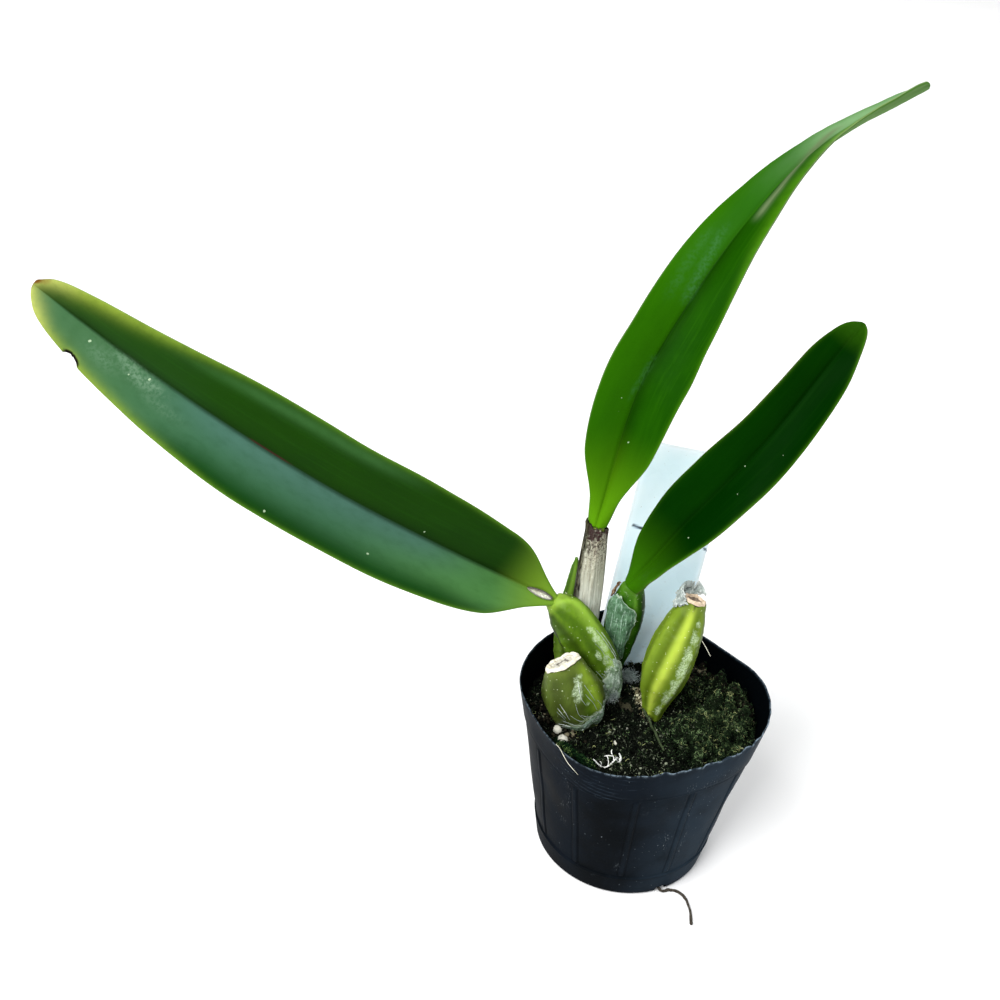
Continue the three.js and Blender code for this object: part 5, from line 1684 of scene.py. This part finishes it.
# cottony film and threads at the bulbs' feet
cottonFinish = strandFinish("cotton", (128, 142, 138), (184, 196, 194), (232, 240, 238), 0.9, 0.78)


def cotton(name, centre, reach, count, seed):
    rng = np.random.default_rng(seed)
    share = np.linspace(0, 1, 7)[None, :, None]
    start = np.array(centre) + rng.normal(0, 1, (count, 3)) * np.array(reach) * 0.55
    way = unit(rng.normal(size=(count, 3))) * rng.uniform(0.6, 2.0, (count, 1))
    bend = rng.normal(0, 0.6, (count, 3))
    paths = start[:, None] + way[:, None] * (share - 0.5) + bend[:, None] * (share * (1 - share))
    widths = rng.uniform(0.04, 0.08, count)
    facing = unit(rng.normal(size=(count, 3)))
    addPiece(name, strands(name, paths, widths, facing, rng.uniform(0, 1, count)), cottonFinish)


cotton("foot_cotton", (-4.4, 17.5, 64.4), (3.0, 2.4, 1.6), 700, 442)
cotton("left_foot_cotton", (-10.4, 2.8, 65.6), (1.6, 1.4, 3.4), 260, 443)
filmRows = [(0.29, -24, 66, 0), (0.33, -42, 74, 0), (0.37, -30, 78, 0.05), (0.41, 6, 76, 0.05),
            (0.45, 40, 70, 0)]
filmPaper = paperFinish("footFilm", (120, 142, 126), (76, 98, 70), (196, 208, 198), (190, 202, 190), 0.8,
                        (1, 1, 0.6))
stubFilm = scrapSheet("stubFilm", "bulb_front_cut", filmRows, 0.12, cling=0.1, wave=0.1, ragged=2.0,
                      seed=85)
addPiece("stub_foot_film", stubFilm, filmPaper)


def skinThreads(name, bulb, lines, thick, material, seed, out=0.18):
    # threads that lie on a bulb: each line gives (t, degrees) stops
    share = np.linspace(0, 1, 6)
    made = []
    for line in lines:
        t, turn = (np.interp(share, np.linspace(0, 1, len(line)), row) for row in np.array(line, float).T)
        made.append(bulbPoint(bulbForms[bulb], t, np.radians(turn), out))
    threads(name, made, thick, material, seed, shake=0.08, tip=0.4)


skinThreads("stub_threads", "bulb_front_cut", [
    [(0.86, 30), (0.78, 24), (0.7, 22), (0.62, 26)], [(0.8, 40), (0.7, 44), (0.6, 46)],
    [(0.66, -30), (0.6, -24), (0.54, -20)], [(0.62, -34), (0.56, -26), (0.5, -24)],
    [(0.7, -22), (0.62, -16), (0.52, -14)], [(0.58, -8), (0.5, 2), (0.46, 10)],
    [(0.55, 10), (0.48, 20), (0.44, 34)], [(0.5, -30), (0.44, -10), (0.42, 10)],
    [(0.72, 34), (0.62, 40), (0.5, 42)], [(0.48, 40), (0.42, 52), (0.38, 62)],
    [(0.46, 20), (0.4, 30), (0.38, 44)], [(0.6, 50), (0.5, 56), (0.42, 60)],
    [(0.44, -44), (0.4, -26), (0.36, -8)], [(0.68, 8), (0.58, 6), (0.48, 14)],
], 0.075, cottonFinish, 450)
skinThreads("left_threads", "bulb_left", [
    [(0.62, 52), (0.54, 58), (0.46, 62)], [(0.5, 60), (0.42, 66), (0.34, 70)],
    [(0.46, 40), (0.4, 50), (0.36, 62)], [(0.56, 30), (0.5, 36), (0.42, 38)],
    [(0.36, 10), (0.3, 22), (0.24, 30)], [(0.4, 0), (0.32, 8), (0.24, 8)],
    [(0.58, 66), (0.48, 72), (0.4, 76)], [(0.34, 40), (0.26, 46), (0.2, 40)],
], 0.09, cottonFinish, 451)
darkFibre = strandFinish("darkFibre", (20, 16, 14), (44, 38, 26), (92, 84, 60))
skinThreads("stem_hairs", "bulb_back", [
    [(0.9, -60), (0.82, -66), (0.72, -58)], [(0.8, -50), (0.7, -60), (0.62, -52)],
    [(0.7, -74), (0.6, -62), (0.52, -66)], [(0.94, -40), (0.9, -20), (0.86, -28)],
    [(0.95, 40), (0.93, 10), (0.9, 16)], [(0.62, -60), (0.52, -50), (0.44, -56)],
    [(0.86, -78), (0.76, -82), (0.66, -70)], [(0.6, -80), (0.5, -74), (0.42, -80)],
], 0.14, darkFibre, 452, 1.25)


# mossy strip along the wall at the front left
rngStrip = np.random.default_rng(461)
stripCount = 1500
stripLine = np.array([(-30.0, -18.2, 62.2), (-28.2, -21.0, 62.6), (-25.4, -24.6, 62.9),
                      (-22.0, -28.0, 63.1), (-17.6, -31.0, 63.0)])
stripAt = curvePoint(stripLine, rngStrip.uniform(0, 1, stripCount))
stripAt = stripAt + rngStrip.normal(0, 1, (stripCount, 3)) * [0.7, 0.7, 0.45]
stripAxis, stripFirst = curlAxes(rngStrip, stripCount)
stripAngle = rngStrip.uniform(0, tau, (stripCount, 1)) + math.radians(220) * curlSteps
stripSize = rngStrip.uniform(0.25, 0.6, (stripCount, 1))
stripPaths = heldIn(arcs(stripAt, stripAxis, stripFirst, stripSize, stripAngle), 62, 1.2)
stripThick = rngStrip.uniform(0.09, 0.16, stripCount)
stripMesh = strands("wallMoss", stripPaths, stripThick, stripAxis, rngStrip.uniform(0, 1, stripCount))
stripFinish = strandFinish("wallMoss", (10, 28, 14), (26, 56, 28), (110, 136, 76), 0.8, 0.78)
addPiece("wall_moss", stripMesh, stripFinish)
print("films and threads made")


# roots

def rodPlace(points, radius):
    # round rod along a curve, rounded at both ends; the radius is a function of t and turn
    def place(a, b):
        turn = tau * a + math.pi
        t = eased(b, 0.4)
        at, _, front, side = frameAt(points, t, (0.01, 0.02, 1))
        size = radius(t, turn)
        gap = np.minimum(t, 1 - t) * curveLength(points)
        size = size * rounded(1 - gap / np.maximum(size, 0.1))
        spot = at + front * (size * np.cos(turn))[:, None] + side * (size * np.sin(turn))[:, None]
        # rise is 1 on the upper side, where the finish paints light
        return spot, {"rise": 0.5 + 0.5 * np.cos(turn)}

    return place


def rootFinish(name, dark, middle, light):
    f = Finish(name, 0.8, 0.06)
    bark = f.grain(1.2, 5)
    f.coat = f.blend(f.steps(bark, 0.35, 0.6), dark, middle)
    f.paint(f.steps(f.grain(0.5, 4), 0.52, 0.72, 0.0, 0.8), light)
    # lighter on the upper side: painted light
    f.paint(f.times(f.steps("rise", 0.55, 0.95), 0.25), light)
    f.bump(bark, 0.3, 0.9)
    return f.done()


trailPoints = [(8.5, -18.5, 6.2), (11.2, -22.6, 3.4), (13.6, -26.4, 1.35), (15.6, -29.7, 0.9),
               (18.4, -28.9, 0.7), (21.3, -29.0, 0.7), (24.3, -31.6, 0.7), (26.0, -37.0, 0.7),
               (26.3, -44.5, 0.7)]


def trailRadius(t, turn):
    knobs = np.stack([20 * t, np.cos(turn), np.sin(turn)], axis=1)
    return 0.56 * (1 - 0.2 * t) * (1 + 0.13 * ripple(knobs, 1.6, 501) + 0.35 * smooth(t, 0.95, 1.0))


trailMesh = laidGrid("trailRoot", 18, 260, rodPlace(trailPoints, trailRadius))
trailBark = rootFinish("trailBark", (20, 17, 14), (50, 44, 37), (104, 98, 88))
addPiece("trailing_root_bark", trailMesh, trailBark, ["trailing_root"])

strayLine = np.array([(0.6, -2.2), (1.5, -4.6), (2.5, -6.8), (3.8, -9.6), (4.8, -13.4), (5.9, -17.0),
                      (6.9, -20.2), (7.6, -22.6)])
strayHeight = mixTop(strayLine[:, 0], strayLine[:, 1]) + np.linspace(2.1, 1.5, len(strayLine))


def strayRadius(t, turn):
    knobs = np.stack([12 * t, np.cos(turn), np.sin(turn)], axis=1)
    return (0.5 - 0.18 * t) * (0.75 + 0.45 * np.abs(np.sin(turn))) * (1 + 0.16 * ripple(knobs, 1.4, 502))


strayPoints = np.column_stack([strayLine, strayHeight])
strayMesh = laidGrid("strayRoot", 20, 150, rodPlace(strayPoints, strayRadius))
strayBark = rootFinish("strayBark", (8, 14, 6), (26, 38, 19), (96, 110, 78))
addPiece("stray_root_bark", strayMesh, strayBark, ["stray_root"])


rhizomeRuns = [
    [(-22, -10, 56), (-21, -4, 57), (-16, 3, 58), (-12.5, 9, 58), (-12.5, 15, 57.5), (-13, 22, 56.5)],
    [(9, -6, 54.5), (4.5, -1.5, 56.5), (-4, 4, 58.5), (-12.5, 9, 58)],
    [(-13, 18, 57), (-17, 20.5, 57), (-22.5, 22, 56), (-28.5, 18.5, 56)],
]


def rhizomeRadius(t, turn):
    return 3.6 + 0.35 * np.sin(40 * t) + 0.12 * np.sin(9 * turn + 30 * t)


rhizomeBark = rootFinish("rhizomeBark", (18, 17, 12), (38, 36, 26), (90, 88, 68))
for number, run in enumerate(rhizomeRuns):
    rhizomeMesh = laidGrid("rhizomeRun", 60, 110, rodPlace(run, rhizomeRadius))
    addPiece("rhizome_run_%d" % number, rhizomeMesh, rhizomeBark, ["rhizome"])
print("roots made")


# floor, light and camera

def flatLight(name, place, aim, size, power, tone):
    data = bpy.data.lights.new(name, "AREA")
    data.shape = "RECTANGLE"
    data.size, data.size_y = size
    data.energy = power
    data.color = tone
    lamp = bpy.data.objects.new(name, data)
    lamp.location = place
    lamp.rotation_euler = (Vector(aim) - Vector(place)).to_track_quat("-Z", "Y").to_euler()
    bpy.context.scene.collection.objects.link(lamp)


studio = {"world": 0.42, "floorHalf": 6.0, "floorTones": ((0.93, 0.93, 0.93, 1), (0.95, 0.95, 0.95, 1))}
lamps = {
    "window": ((-0.75, -0.75, 1.25), (-0.03, 0.0, 0.1), (1.1, 1.1), 40, (1, 1, 1)),
    "fill": ((1.1, -0.7, 0.9), (0, 0, 0.1), (1.2, 1.2), 5, (0.92, 0.96, 1)),
    "back": ((0.2, 1.1, 1.2), (0, 0, 0.15), (1.4, 0.8), 10, (1, 1, 1)),
}

bm = bmesh.new()
bmesh.ops.create_grid(bm, x_segments=1, y_segments=1, size=studio["floorHalf"])
floorMesh = meshFrom(bm, "paleFloor")
floorFinish = Finish("paleFloor", 0.9, 0.1)
floorClouds = floorFinish.steps(floorFinish.grain(60, 2), 0.3, 0.7)
floorFinish.coat = floorFinish.blend(floorClouds, *studio["floorTones"])
floorMesh.materials.append(floorFinish.done())
floor = bpy.data.objects.new("paleFloor", floorMesh)
bpy.context.scene.collection.objects.link(floor)

world = bpy.data.worlds.new("softRoom")
world.use_nodes = True
world.node_tree.nodes["Background"].inputs["Color"].default_value = (1, 1, 1, 1)
world.node_tree.nodes["Background"].inputs["Strength"].default_value = studio["world"]
bpy.context.scene.world = world
for lampName, lamp in lamps.items():
    flatLight(lampName, *lamp)
bpy.context.scene.view_settings.view_transform = "Standard"

cameraForm = {"place": (-59.24, -415.17, 437.55), "pitch": 34.6, "roll": 5.616, "lens": 54.0,
              "sensor": 36.0, "nearest": 0.01}
pitch, roll = math.radians(cameraForm["pitch"]), math.radians(cameraForm["roll"])
forward = Vector((0, math.cos(pitch), -math.sin(pitch)))
upward = Vector((0, math.sin(pitch), math.cos(pitch)))
right = Vector((1, 0, 0))
rolledRight = math.cos(roll) * right + math.sin(roll) * upward
rolledUp = -math.sin(roll) * right + math.cos(roll) * upward
cameraData = bpy.data.cameras.new("camera")
cameraData.lens = cameraForm["lens"]
cameraData.sensor_width = cameraForm["sensor"]
cameraData.clip_start = cameraForm["nearest"]
camera = bpy.data.objects.new("camera", cameraData)
turned = Matrix((rolledRight, rolledUp, -forward)).transposed().to_4x4()
camera.matrix_world = Matrix.Translation(Vector(cameraForm["place"]) * mm) @ turned
bpy.context.scene.collection.objects.link(camera)
bpy.context.scene.camera = camera

print("scene ready")
